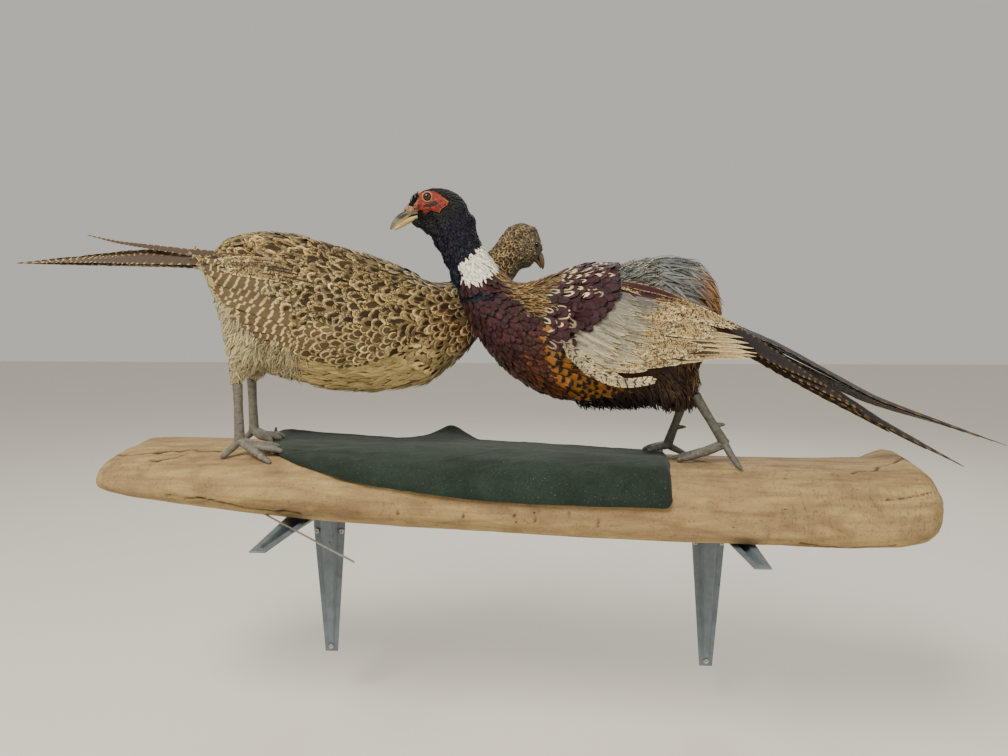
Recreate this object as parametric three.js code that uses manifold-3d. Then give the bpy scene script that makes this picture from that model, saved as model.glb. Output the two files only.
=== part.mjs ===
// A cock and a hen pheasant, mounted together on a driftwood slab that two pressed-steel
// brackets hold to a wall. Millimetres: +X to the right along the wall, +Y into the wall, +Z up.
// The wall is the plane y = 0 and the origin lies on the slab's flat back.
import * as THREE from 'three';
import { mergeVertices } from 'three/addons/utils/BufferGeometryUtils.js';
import Module from 'manifold-3d';

const wasm = await Module();
wasm.setup();

// ---- driving dimensions, millimetres ----
const GAP = 0.3; // between touching pieces
const COCK_Y = -122; // the cock's middle plane
const COCK_HEAD_Y = -131;
const HEN_Y = -106;
const FEATHER = 0.6; // half the thickness of a feather blade

const SLAB_LEFT = -532;
const SLAB_RIGHT = 491;
const CLOTH_THICK = 4.2;
const CLOTH_LIFT = 1.2; // clear of the slab
const CLOTH_LEFT = -328; // at the wall
const CLOTH_RIGHT = 180;
const CLOTH_BUMP_X = -90; // where the cloth's back edge is pushed up

const BRACKET_LEG = 218;
const BRACKET_ARM = 254;
const BRACKET_CORNER = 44; // radius of the pressed corner
const STEEL = 1.6;
const PLATE_HALF = { corner: 21.5, tip: 8.5 }; // a bracket narrows towards both its ends
const RIB_HALF = { corner: 12.5, tip: 3.9 };
const RIB_DEPTH = { corner: 15, tip: 3 };
const TIP_HOLE = 2.2; // radius
const SCREW_OFFSET = 17; // to each side of the rib
const BRACKETS = {
  left: { x: -260, top: -36 },
  right: { x: 245, top: -43 },
};
const SCREW_HEAD = 3.6; // radius
const SCREW_HEIGHT = 2;
const WIRE_RADIUS = 1.1;

const ACROSS = new THREE.Vector3(0, 1, 0);

// ---- materials ----
const colours = {
  greenBlack: [0x16201f, 0.5, 0.1],
  blueBlack: [0x1b1f38, 0.45, 0.15],
  copper: [0x7a3a1c, 0.6, 0.1],
  buff: [0xb09468, 0.8, 0],
  darkBrown: [0x3d2b1e, 0.8, 0],
  henBuff: [0x8f7a56, 0.85, 0],
  horn: [0xb5aa86, 0.45, 0],
  glass: [0x1a120a, 0.08, 0],
  leg: [0x77756a, 0.6, 0],
  wood: [0xb8925c, 0.85, 0],
  cloth: [0x33443a, 0.95, 0],
  enamel: [0x5f6a70, 0.45, 0.3],
  zinc: [0xa9abab, 0.35, 0.9],
};
const materials = {};
for (const [name, [color, roughness, metalness]] of Object.entries(colours)) {
  materials[name] = new THREE.MeshStandardMaterial({ color, roughness, metalness });
}

// ---- numbers along a line ----
// A smooth curve through a short table of [position, value] rows.
function through(rows) {
  const slope = (i) => {
    const a = rows[Math.max(i - 1, 0)];
    const b = rows[Math.min(i + 1, rows.length - 1)];
    return (b[1] - a[1]) / (b[0] - a[0]);
  };
  return (x) => {
    const last = rows.length - 1;
    if (x <= rows[0][0]) return rows[0][1];
    if (x >= rows[last][0]) return rows[last][1];
    let i = 0;
    while (x > rows[i + 1][0]) i += 1;
    const span = rows[i + 1][0] - rows[i][0];
    const t = (x - rows[i][0]) / span;
    const keep = 2 * t ** 3 - 3 * t ** 2 + 1;
    const leave = t ** 3 - 2 * t ** 2 + t;
    const arrive = t ** 3 - t ** 2;
    const ends = keep * rows[i][1] + (1 - keep) * rows[i + 1][1];
    return ends + span * (leave * slope(i) + arrive * slope(i + 1));
  };
}

function spread(from, to, count) {
  return Array.from({ length: count }, (_, i) => from + ((to - from) * i) / (count - 1));
}

// ---- solids ----
function toSolid(geometry) {
  const bare = geometry.clone();
  bare.deleteAttribute('normal');
  bare.deleteAttribute('uv');
  const merged = mergeVertices(bare, 1e-4);
  const mesh = new wasm.Mesh({
    numProp: 3,
    vertProperties: new Float32Array(merged.attributes.position.array),
    triVerts: new Uint32Array(merged.index.array),
  });
  return new wasm.Manifold(mesh);
}

function fromSolid(solid) {
  const mesh = solid.getMesh();
  const geometry = new THREE.BufferGeometry();
  geometry.setAttribute('position', new THREE.BufferAttribute(new Float32Array(mesh.vertProperties), 3));
  geometry.setIndex(new THREE.BufferAttribute(new Uint32Array(mesh.triVerts), 1));
  geometry.computeVertexNormals();
  return geometry;
}

// The biggest of the bodies that a cut leaves, without its slivers.
function largest(solid) {
  const bodies = solid.decompose();
  return bodies.reduce((best, body) => (body.volume() > best.volume() ? body : best));
}

function joined(solids) {
  return solids.reduce((sum, solid) => sum.add(solid));
}

// A closed skin through rings of points: sides are quads, ends are fans to the ring's middle.
// The rings of a thin sheet run out on its upper face and back on its lower, and its ends are strips.
function skinOf(rings, thinSheet = false) {
  const sides = rings[0].length;
  const points = [];
  const index = [];
  for (const ring of rings) {
    for (const p of ring) points.push(p.x, p.y, p.z);
  }
  for (let i = 0; i + 1 < rings.length; i += 1) {
    for (let j = 0; j < sides; j += 1) {
      const a = i * sides + j;
      const b = i * sides + ((j + 1) % sides);
      index.push(a, b, a + sides, b, b + sides, a + sides);
    }
  }
  for (const end of [0, rings.length - 1]) {
    const corners = rings[end].map((_, j) => end * sides + j);
    const faces = thinSheet ? stripOver(corners) : fanOver(corners, rings[end], points);
    for (const face of faces) index.push(...(end === 0 ? face.reverse() : face));
  }
  const geometry = new THREE.BufferGeometry();
  geometry.setAttribute('position', new THREE.BufferAttribute(new Float32Array(points), 3));
  geometry.setIndex(index);
  return signedVolume(geometry) < 0 ? flipped(geometry) : geometry;
}

function fanOver(corners, ring, points) {
  const middle = new THREE.Vector3();
  for (const p of ring) middle.addScaledVector(p, 1 / ring.length);
  const pole = points.length / 3;
  points.push(middle.x, middle.y, middle.z);
  return corners.map((a, j) => [a, corners[(j + 1) % corners.length], pole]);
}

function stripOver(corners) {
  const faces = [];
  for (let j = 0; j + 1 < corners.length / 2; j += 1) {
    const [a, b, c, d] = [corners[j], corners[j + 1], corners.at(-2 - j), corners.at(-1 - j)];
    faces.push([a, b, c], [a, c, d]);
  }
  return faces;
}

function signedVolume(geometry) {
  const position = geometry.attributes.position;
  const corner = [new THREE.Vector3(), new THREE.Vector3(), new THREE.Vector3()];
  let volume = 0;
  for (let i = 0; i < geometry.index.count; i += 3) {
    corner.forEach((c, j) => c.fromBufferAttribute(position, geometry.index.getX(i + j)));
    volume += corner[0].dot(corner[1].cross(corner[2])) / 6;
  }
  return volume;
}

function flipped(geometry) {
  const index = Array.from(geometry.index.array);
  for (let i = 0; i < index.length; i += 3) [index[i], index[i + 1]] = [index[i + 1], index[i]];
  geometry.setIndex(index);
  return geometry;
}

// A body lofted along a spine. Each row is [x, y, z, above, below, half width]. Rows run so that
// "above" is the back of the bird: from head to tail on the cock, from tail to head on the hen.
function loft(rows, { sides = 16, steps = 2, grow = 0, roll = 0, square = 2 } = {}) {
  const spine = new THREE.CatmullRomCurve3(rows.map((r) => new THREE.Vector3(r[0], r[1], r[2])));
  const sizes = new THREE.CatmullRomCurve3(rows.map((r) => new THREE.Vector3(r[3], r[4], r[5])));
  const count = (rows.length - 1) * steps;
  const rings = [];
  for (let i = 0; i <= count; i += 1) {
    const at = spine.getPoint(i / count);
    const along = spine.getTangent(i / count);
    if (i === 0) at.addScaledVector(along, -grow);
    if (i === count) at.addScaledVector(along, grow);
    const up = along.clone().cross(ACROSS).normalize().applyAxisAngle(along, roll);
    const side = up.clone().cross(along).normalize();
    const size = sizes.getPoint(i / count);
    const ring = [];
    for (let j = 0; j < sides; j += 1) {
      const angle = (2 * Math.PI * j) / sides;
      const wide = Math.sign(Math.cos(angle)) * Math.abs(Math.cos(angle)) ** (2 / square);
      const high = Math.sign(Math.sin(angle)) * Math.abs(Math.sin(angle)) ** (2 / square);
      const reach = (high > 0 ? size.x : size.y) + grow;
      const point = at.clone().addScaledVector(side, wide * (size.z + grow));
      ring.push(point.addScaledVector(up, high * reach));
    }
    rings.push(ring);
  }
  return toSolid(skinOf(rings));
}

// A side view cut out of a thick sheet that lies between two distances from the wall.
function sideCut(outline, nearY, farY) {
  const shape = new THREE.Shape(outline.map(([x, z]) => new THREE.Vector2(x, z)));
  const geometry = new THREE.ExtrudeGeometry(shape, { depth: farY - nearY, bevelEnabled: false });
  geometry.rotateX(Math.PI / 2);
  geometry.translate(0, farY, 0);
  return toSolid(geometry);
}

function smoothOutline(points, perPoint) {
  const curve = new THREE.CatmullRomCurve3(points.map(([x, z]) => new THREE.Vector3(x, 0, z)), true);
  return curve.getPoints(points.length * perPoint).slice(0, -1).map((p) => [p.x, p.z]);
}

// Two halves of a bird on either side of a line across its side view, GAP apart.
function parted(solid, [x1, z1], [x2, z2]) {
  const normal = new THREE.Vector3(z1 - z2, 0, x2 - x1).normalize();
  const reach = normal.dot(new THREE.Vector3(x1, 0, z1));
  return {
    over: solid.trimByPlane(normal.toArray(), reach + GAP / 2),
    under: solid.trimByPlane(normal.clone().negate().toArray(), GAP / 2 - reach),
  };
}

const model = new THREE.Group();

function add(name, solid, material) {
  const mesh = new THREE.Mesh(fromSolid(solid), materials[material].clone());
  mesh.name = name;
  model.add(mesh);
}

// ---- the driftwood slab ----
const slabBack = through([
  [-532, 12], [-520, 28], [-500, 40], [-336, 38], [0, 30], [275, 19], [440, 22], [470, 36], [491, 10],
]);
const slabCrown = through([
  [-532, 14], [-515, 32], [-490, 42], [-300, 45], [0, 42], [200, 38], [430, 37], [470, 37], [491, 8],
]);
const slabCrownY = through([[-532, -60], [-300, -72], [0, -105], [200, -132], [491, -120]]);
const slabFront = through([
  [-532, -110], [-515, -150], [-400, -168], [-260, -176], [0, -190], [250, -203], [470, -199], [491, -160],
]);
const slabNose = through([[-532, 8], [-400, 2], [0, -3], [491, -6]]);
const slabUnder = through([
  [-532, 4], [-515, -10], [-403, -26], [-260, -36], [-40, -42], [245, -43], [430, -47], [475, -36], [491, -4],
]);
const slabUnderY = through([[-532, -60], [-260, -112], [0, -130], [245, -168], [491, -120]]);
const slabSquare = through([[-532, 2], [-260, 2], [250, 3.6], [491, 3]]);
const slabLean = through([[-532, 0.17], [-300, 0.03], [300, -0.02], [491, -0.18]]);
const ROUND_TOP = 2.6;

// Height of the slab's top at a place.
function slabTop(x, y) {
  const crownY = slabCrownY(x);
  const crown = slabCrown(x);
  if (y >= crownY) return crown - (crown - slabBack(x)) * ((y - crownY) / crownY) ** 2;
  const t = Math.min((crownY - y) / (crownY - slabFront(x)), 1);
  return slabNose(x) + (crown - slabNose(x)) * (1 - t ** ROUND_TOP) ** (1 / ROUND_TOP);
}

// Height of the slab's underside at a place.
function slabBottom(x, y) {
  const flatTo = slabUnderY(x);
  if (y >= flatTo) return slabUnder(x);
  const t = Math.min((flatTo - y) / (flatTo - slabFront(x)), 1);
  return slabNose(x) - (slabNose(x) - slabUnder(x)) * (1 - t ** slabSquare(x)) ** (1 / slabSquare(x));
}

function slabRing(x) {
  const front = slabFront(x);
  const ring = [];
  const place = (y, z) => ring.push(new THREE.Vector3(x - slabLean(x) * y, y, z));
  for (const t of [0, 0.22, 0.45, 0.66, 0.82, 0.92, 0.98]) place(t * front, slabTop(x, t * front));
  place(front, slabNose(x));
  for (const t of [0.985, 0.93, 0.84, 0.7]) place(t * front, slabBottom(x, t * front));
  place(0.35 * front, slabUnder(x));
  place(0, slabUnder(x));
  return ring;
}

function slabSolid() {
  const ends = [0, 5, 14, 30];
  const left = ends.map((inset) => SLAB_LEFT + inset);
  const middle = spread(SLAB_LEFT + 62, SLAB_RIGHT - 62, 12);
  const right = ends.reverse().map((inset) => SLAB_RIGHT - inset);
  return toSolid(skinOf([...left, ...middle, ...right].map(slabRing)));
}

// ---- the cloth over the slab ----
// The height of its front edge, and the thickness rolled up at its back edge.
const clothEdge = through([[-330, 38], [-255, 34], [-183, 19], [-94, 8], [0, 1], [180, 0]]);
const clothRoll = through([[-330, 13], [-240, 7], [-160, 4.5], [0, 4], [170, 0.5]]);

// The cloth's back edge is rolled up against the wall, highest over the bump.
function clothLip(x) {
  return clothRoll(x) + 15 * Math.exp(-(((x - CLOTH_BUMP_X) / 20) ** 2));
}

// A place on the slab's top: v runs from the wall over the crown to the cloth's front edge.
function clothPlace(x, v) {
  const crownY = slabCrownY(x);
  if (v < 0.4) return -4 + (crownY + 4) * (v / 0.4);
  const rise = (clothEdge(x) - slabNose(x)) / (slabCrown(x) - slabNose(x));
  const turn = Math.acos(Math.min(rise, 1) ** (ROUND_TOP / 2)) * ((v - 0.4) / 0.6);
  return crownY + (slabFront(x) - crownY) * Math.sin(turn) ** (2 / ROUND_TOP);
}

function clothStart(v) {
  return CLOTH_LEFT + 38 * v + 35 * v ** 6;
}

function clothThickness(x, y) {
  return CLOTH_THICK + clothLip(x) * Math.exp((y + 4) / 9);
}

function clothSolid() {
  const cols = [0, 0.05, 0.2, 0.42, 0.6, 0.74, 0.86, 0.94, 1];
  const rings = spread(0, 1, 16).map((u) => {
    const over = [];
    const under = [];
    for (const v of cols) {
      const left = clothStart(v);
      const x = left + (CLOTH_RIGHT - 12 * v - left) * u;
      const y = clothPlace(x, v);
      const slope = v > 0.4 ? slabTop(x, y + 0.5) - slabTop(x, y - 0.5) : 0;
      const lift = new THREE.Vector3(0, -slope, 1).normalize();
      const at = new THREE.Vector3(x, y, slabTop(x, y));
      under.push(at.clone().addScaledVector(lift, CLOTH_LIFT));
      over.push(at.clone().addScaledVector(lift, CLOTH_LIFT + clothThickness(x, y)));
    }
    return [...over, ...under.reverse()];
  });
  return toSolid(skinOf(rings, true));
}

function onCloth(x, y) {
  const across = -y / 175;
  return x > clothStart(Math.min(across, 1)) - 3 && x < CLOTH_RIGHT - 3;
}

// Height of what a foot stands on.
function perch(x, y) {
  return slabTop(x, y) + (onCloth(x, y) ? CLOTH_LIFT + clothThickness(x, y) : 0);
}

// ---- feathers of a tail ----
// A blade along four points, each with its half width; it comes to a point at its tip.
function blade(points, widths, roll) {
  const rows = points.map(([x, y, z], i) => [x, y, z, widths[i], widths[i], FEATHER]);
  return loft(rows, { sides: 4, steps: 1, roll });
}

// ---- feet ----
// One toe or claw from an ankle to a tip on the perch, arched in between.
function toe(ankle, tip, radius, arch) {
  const rows = [];
  for (const t of [0, 0.35, 0.78, 1]) {
    const x = ankle[0] + (tip[0] - ankle[0]) * t;
    const y = ankle[1] + (tip[1] - ankle[1]) * t;
    const thick = radius * (t < 1 ? 1 - 0.55 * t : 0.2);
    const floor = perch(x, y) + 0.5 + thick;
    const fall = (1 - t) ** 2;
    const z = ankle[2] * fall + floor * (1 - fall) + arch * Math.sin(Math.PI * t);
    rows.push([x, y, Math.max(floor, z), thick, thick, thick]);
  }
  return loft(rows, { sides: 5, steps: 1 });
}

function foot({ hock, ankle, toes, spur }) {
  const shank = [0, 0.12, 0.5, 0.9, 1].map((t, i) => {
    const radius = [5.2, 4.4, 3.6, 4.4, 5][i];
    const p = hock.map((value, axis) => value + (ankle[axis] - value) * t);
    return [...p, radius, radius, radius * 0.85];
  });
  const solids = [loft(shank, { sides: 7, steps: 1 })];
  for (const [tip, radius] of toes) solids.push(toe(ankle, tip, radius, 1.5));
  if (spur) {
    const root = hock.map((value, axis) => value + (ankle[axis] - value) * 0.62);
    const tip = [root[0] + 13, root[1] + spur, root[2] + 1];
    const rows = [0, 0.5, 1].map((t) => {
      const thick = 3 - 2.6 * t;
      return [...root.map((value, axis) => value + (tip[axis] - value) * t), thick, thick, thick];
    });
    solids.push(loft(rows, { sides: 4, steps: 1 }));
  }
  return joined(solids);
}

// ---- the cock ----
const cockTrunkRows = [
  [-49, COCK_Y - 4, 243, 27, 26, 26],
  [-34, COCK_Y - 2, 217, 39, 31, 36],
  [-14, COCK_Y, 199, 52, 43, 47],
  [12, COCK_Y, 187, 65, 60, 55],
  [50, COCK_Y, 181, 76, 76, 60],
  [92, COCK_Y, 183, 81, 80, 60],
  [120, COCK_Y, 184, 76, 82, 57],
  [150, COCK_Y, 196, 75, 87, 50],
  [180, COCK_Y, 206, 68, 72, 43],
  [205, COCK_Y, 212, 53, 48, 34],
  [221, COCK_Y, 213, 33, 29, 20],
  [231, COCK_Y, 213, 6, 6, 6],
];
const cockNeckRows = [
  [-92, COCK_HEAD_Y, 326, 16, 15, 16],
  [-80, COCK_HEAD_Y, 309, 25, 17, 19],
  [-71, COCK_HEAD_Y + 1, 290, 26, 18.5, 20],
  [-63, COCK_HEAD_Y + 3, 272, 26, 20, 22],
  [-52, COCK_Y - 4, 250, 29, 24, 25],
  [-34, COCK_Y, 224, 34, 30, 30],
];
const cockHeadRows = [
  [-128, COCK_HEAD_Y - 2, 316, 5.5, 5, 5.5],
  [-121, COCK_HEAD_Y - 1, 319, 12, 9, 10],
  [-110, COCK_HEAD_Y, 321, 20, 15, 14],
  [-96, COCK_HEAD_Y, 323, 24, 19, 17],
  [-82, COCK_HEAD_Y, 322, 23.5, 21, 18],
  [-69, COCK_HEAD_Y, 314, 19, 20, 17],
  [-60, COCK_HEAD_Y, 306, 9, 10, 9],
];
const NECK_BASE = [[-77, 232], [-18, 253]];
const HEAD_BASE = [[-107, 298], [-56, 321]];
const EYE = { x: -100, z: 334, radius: 5.2, out: 14.5 };

const cockTrunkBody = loft(cockTrunkRows, { sides: 16 });
const cockNeckBody = loft(cockNeckRows, { sides: 12 });
const cockHeadBody = loft(cockHeadRows, { sides: 12 });
const trunkRoom = loft(cockTrunkRows, { sides: 16, grow: GAP + 0.2 });

function cockFlesh() {
  const head = largest(parted(cockHeadBody.add(cockNeckBody), ...HEAD_BASE).over);
  const trunk = largest(parted(cockNeckBody.add(cockTrunkBody), ...NECK_BASE).under);
  const whole = cockHeadBody.add(cockNeckBody).add(cockTrunkBody);
  const neck = parted(parted(whole, ...HEAD_BASE).under, ...NECK_BASE).over;
  return { head, neck: largest(neck), trunk };
}

// The upper half of the bill is a hooked wedge, the lower a shallow trough under it.
const upperBillRows = [
  [-145.5, -137, 302.5, 0.9, 0.9, 0.7],
  [-142.5, -136.5, 308.5, 2.6, 2.4, 3],
  [-136, -135, 313.5, 4, 2.6, 5.5],
  [-127, -133, 317, 4.4, 3.4, 8],
  [-117, -132, 318.5, 4.5, 3.4, 9],
];
const lowerBillRows = [
  [-139.5, -136, 301, 0.8, 0.8, 1.2],
  [-133, -135, 305.5, 2.3, 3, 4],
  [-124, -133, 309.5, 2.4, 4.2, 6.6],
  [-115, -132, 312.5, 2.4, 4.6, 8],
];

function billSolids() {
  const room = loft(cockHeadRows, { sides: 12, steps: 1, grow: GAP + 0.6 });
  const upper = largest(loft(upperBillRows, { sides: 10 }).subtract(room));
  const lowerRoom = loft(upperBillRows, { sides: 10, grow: GAP + 0.2 });
  return { upper, lower: largest(loft(lowerBillRows, { sides: 10 }).subtract(room).subtract(lowerRoom)) };
}

function eyeball(side, grow) {
  const ball = new THREE.SphereGeometry(EYE.radius + grow, 8, 6);
  ball.rotateX(Math.PI / 2);
  ball.translate(EYE.x, COCK_HEAD_Y + side * EYE.out, EYE.z);
  return toSolid(ball);
}

// A folded wing: the layer between two hulls, within its side view.
const wingOutline = [
  [47, 196], [52, 174], [62, 157], [76, 142], [98, 129], [120, 124], [142, 129], [149, 140],
  [172, 150], [212, 156], [262, 159], [240, 180], [204, 202], [150, 224], [100, 236], [70, 222],
];
const WING_THICK = 7;
const WING_TIP_THICK = 1.6;

function wingHull(inset) {
  const halves = [
    [36, 185, 50], [60, 185, 62], [95, 182, 66], [135, 182, 64.5],
    [180, 184, 59], [225, 178, 52], [285, 166, 45],
  ];
  const rows = halves.map(([x, z, half]) => {
    const thick = Math.max(WING_TIP_THICK, WING_THICK * (1 - (x - 60) / 240));
    return [x, COCK_Y, z, 110, 110, half - inset * thick];
  });
  return loft(rows, { sides: 24, steps: 1, square: 2.3 });
}

function wingSolid(side, room) {
  const outline = smoothOutline(wingOutline, 2);
  const middle = COCK_Y + side * 51;
  const cut = sideCut(outline, middle - 39, middle + 39);
  return largest(wingHull(0).subtract(wingHull(1)).intersect(cut).subtract(room));
}

function thighRows(side) {
  const y = COCK_Y + side * 20;
  return [
    [136, y, 168, 30, 30, 16],
    [148, y, 146, 30, 32, 20],
    [164, y + side * 2, 127, 22, 25, 17],
    [182, y + side * 2, 117, 12, 13, 10],
    [193, y + side * 2, 111, 5.5, 5.5, 5],
  ];
}

const cockFeet = {
  left: {
    hock: [197, COCK_Y - 20, 115],
    ankle: [232, COCK_Y - 15, 60],
    toes: [[[178, -116, 0], 4.4], [[181, -130, 0], 4.6], [[200, -98, 0], 4], [[244, -164, 0], 3.4]],
    spur: 3,
  },
  right: {
    hock: [194, COCK_Y + 22, 108],
    ankle: [176, COCK_Y + 33, 50],
    toes: [[[152, -100, 0], 4.2], [[148, -86, 0], 4], [[160, -66, 0], 4], [[201, -80, 0], 3.4]],
    spur: -3,
  },
};

// The outer tail feathers: each path is [x, distance from the middle plane, z] at four places.
const outerTail = [
  { roll: 0.35, tip: 8, path: [[202, 12, 203], [285, 13, 163], [400, 8, 89], [500, 1, 34.5]] },
  { roll: 0.5, tip: 8, path: [[204, 18, 198], [265, 20, 167], [345, 14, 118], [422, 10, 71]] },
  { roll: 0.7, tip: 7, path: [[204, 24, 200], [245, 27, 180], [295, 24, 151], [340, 20, 125]] },
];
const tailRoot = [
  [204, COCK_Y, 204, 22, 24, 16], [232, COCK_Y, 195, 19, 20, 18],
  [262, COCK_Y, 180, 10, 11, 10], [280, COCK_Y, 171, 2, 2, 2],
];

// The tail: long middle feathers that sweep down to the right and part into two branches.
function cockTail() {
  const blades = [loft(tailRoot, { sides: 8, steps: 1 })];
  const count = 4;
  for (let i = 0; i < count; i += 1) {
    const t = i / (count - 1);
    const y = COCK_Y + 14 * (t - 0.5);
    const drop = 16 * (t - 0.5);
    const path = [
      [202, y, 206 - drop * 0.5], [290, y, 165 - drop],
      [400, y, 109 - drop * 0.4], [540 - 68 * t, y - 2, 60 + 22 * t],
    ];
    blades.push(blade(path, [12, 10, 7, 0.7], (t - 0.5) * 0.5));
  }
  for (const side of [-1, 1]) {
    for (const { roll, tip, path } of outerTail) {
      const placed = path.map(([x, out, z]) => [x, COCK_Y + side * out, z]);
      blades.push(blade(placed, [12.5, 12.5, tip, 0.7], side * roll));
    }
  }
  return joined(blades);
}

function buildCock(ground) {
  const { head, neck, trunk } = cockFlesh();
  const bill = billSolids();
  const sockets = eyeball(-1, GAP).add(eyeball(1, GAP));
  add('cock_head', head.subtract(sockets), 'greenBlack');
  add('cock_bill_upper', bill.upper, 'horn');
  add('cock_bill_lower', bill.lower, 'horn');
  add('cock_eye_left', eyeball(-1, 0), 'glass');
  add('cock_eye_right', eyeball(1, 0), 'glass');
  add('cock_neck', neck, 'blueBlack');
  add('cock_trunk', trunk, 'copper');
  for (const [name, side] of [['left', -1], ['right', 1]]) {
    const thigh = largest(loft(thighRows(side), { sides: 10 }).subtract(trunkRoom));
    const thighRoom = loft(thighRows(side), { sides: 10, grow: GAP + 0.2 });
    const wing = wingSolid(side, trunkRoom.add(thighRoom));
    add(`cock_thigh_${name}`, thigh, 'darkBrown');
    add(`cock_wing_${name}`, wing, 'buff');
    add(`cock_foot_${name}`, largest(foot(cockFeet[name]).subtract(thighRoom).subtract(ground)), 'leg');
  }
  add('cock_tail', largest(cockTail().subtract(trunkRoom)), 'darkBrown');
}

// ---- the hen ----
const henBodyRows = [
  [-384, HEN_Y - 4, 262, 8, 7, 9],
  [-367, HEN_Y - 3, 261, 20, 30, 28],
  [-346, HEN_Y - 2, 250, 49, 78, 43],
  [-305, HEN_Y, 228, 79, 88, 54],
  [-260, HEN_Y + 2, 213, 92, 86, 57],
  [-212, HEN_Y + 5, 200, 87, 89, 56],
  [-165, HEN_Y + 9, 192, 79, 83, 53],
  [-120, HEN_Y + 17, 192, 68, 74, 46],
  [-88, HEN_Y + 30, 203, 47, 52, 37],
  [-64, HEN_Y + 45, 222, 33, 38, 26],
  [-42, HEN_Y + 55, 246, 27, 28, 23],
  [-20, HEN_Y + 60, 270, 24, 22, 20],
  [-4, HEN_Y + 62, 288, 28, 20, 19],
  [10, HEN_Y + 61, 290, 25, 19, 17.5],
  [18, HEN_Y + 60, 281, 12, 14, 10],
  [24, HEN_Y + 58, 271, 4.5, 5, 4.5],
  [27.5, HEN_Y + 57, 260, 1.2, 1.2, 1.2],
];
const henWingOutline = [
  [-366, 264], [-352, 236], [-335, 208], [-306, 183], [-270, 164], [-235, 150], [-198, 144],
  [-150, 152], [-122, 172], [-118, 200], [-150, 226], [-198, 252], [-258, 266], [-324, 268],
];
const henFeet = [
  {
    hock: [-326, -134, 136],
    ankle: [-325, -134, 58],
    toes: [[[-274, -137, 0], 4.2], [[-284, -120, 0], 4], [[-284, -151, 0], 4], [[-345, -140, 0], 3.2]],
    spur: 0,
  },
  {
    hock: [-331, -79, 134],
    ankle: [-330, -78, 62],
    toes: [[[-296, -80, 0], 4], [[-301, -97, 0], 4], [[-298, -62, 0], 4], [[-352, -70, 0], 3.2]],
    spur: 0,
  },
];

function henTail() {
  const blades = [];
  const count = 3;
  for (let i = 0; i < count; i += 1) {
    const t = i / (count - 1);
    for (const side of [-1, 1]) {
      const path = [
        [-350, HEN_Y + side * (4 + 14 * t), 268],
        [-440, HEN_Y + side * (3 + 16 * t), 274 - 4 * t],
        [-520 + 30 * t, HEN_Y + side * (3 + 15 * t), 270 - t],
        [-606 + 58 * t, HEN_Y + side * (1 + 12 * t), 266.5],
      ];
      blades.push(blade(path, [10, 9, 6, 0.7], side * (0.9 - 0.7 * t)));
    }
  }
  const raised = [[-360, HEN_Y, 278], [-430, HEN_Y, 280], [-480, HEN_Y - 1, 285], [-516, HEN_Y - 2, 299]];
  blades.push(blade(raised, [7, 5, 2.5, 0.7], 0.4));
  return joined(blades);
}

function buildHen(ground) {
  const body = loft(henBodyRows, { sides: 16, steps: 1 });
  const solids = [body, henTail()];
  const wings = loft(henBodyRows, { sides: 16, steps: 1, grow: 4 });
  const outline = smoothOutline(henWingOutline, 1);
  solids.push(wings.intersect(sideCut(outline, HEN_Y - 90, HEN_Y - 20)));
  solids.push(wings.intersect(sideCut(outline, HEN_Y + 20, HEN_Y + 90)));
  for (const side of [-1, 1]) {
    const y = HEN_Y + side * 28;
    const thigh = [
      [-306, y, 186, 34, 34, 22], [-318, y, 160, 28, 30, 21],
      [-326, y, 142, 18, 17, 14], [-327, y, 126, 8, 7, 7],
    ];
    solids.push(loft(thigh, { sides: 10, steps: 1 }));
  }
  for (const place of henFeet) solids.push(foot(place));
  add('hen', largest(joined(solids).subtract(ground)), 'henBuff');
}

// ---- brackets: an L pressed from one sheet, its middle rib hollow on the side of wall and shelf ----
function bracketSection(width, rib, depth, base, inward) {
  const lip = STEEL * 0.8;
  const crest = rib * 0.62;
  const outer = [
    [-width, 0], [-width, STEEL], [-rib, STEEL], [-crest, depth],
    [crest, depth], [rib, STEEL], [width, STEEL], [width, 0],
  ];
  const hollow = Math.max(depth - STEEL, 0.01);
  const inner = [[rib - lip, 0], [crest - lip, hollow], [lip - crest, hollow], [lip - rib, 0]];
  return [...outer, ...inner].map(([across, deep]) => (
    new THREE.Vector3(base.x + across, base.y + inward.y * deep, base.z + inward.z * deep)
  ));
}

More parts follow.
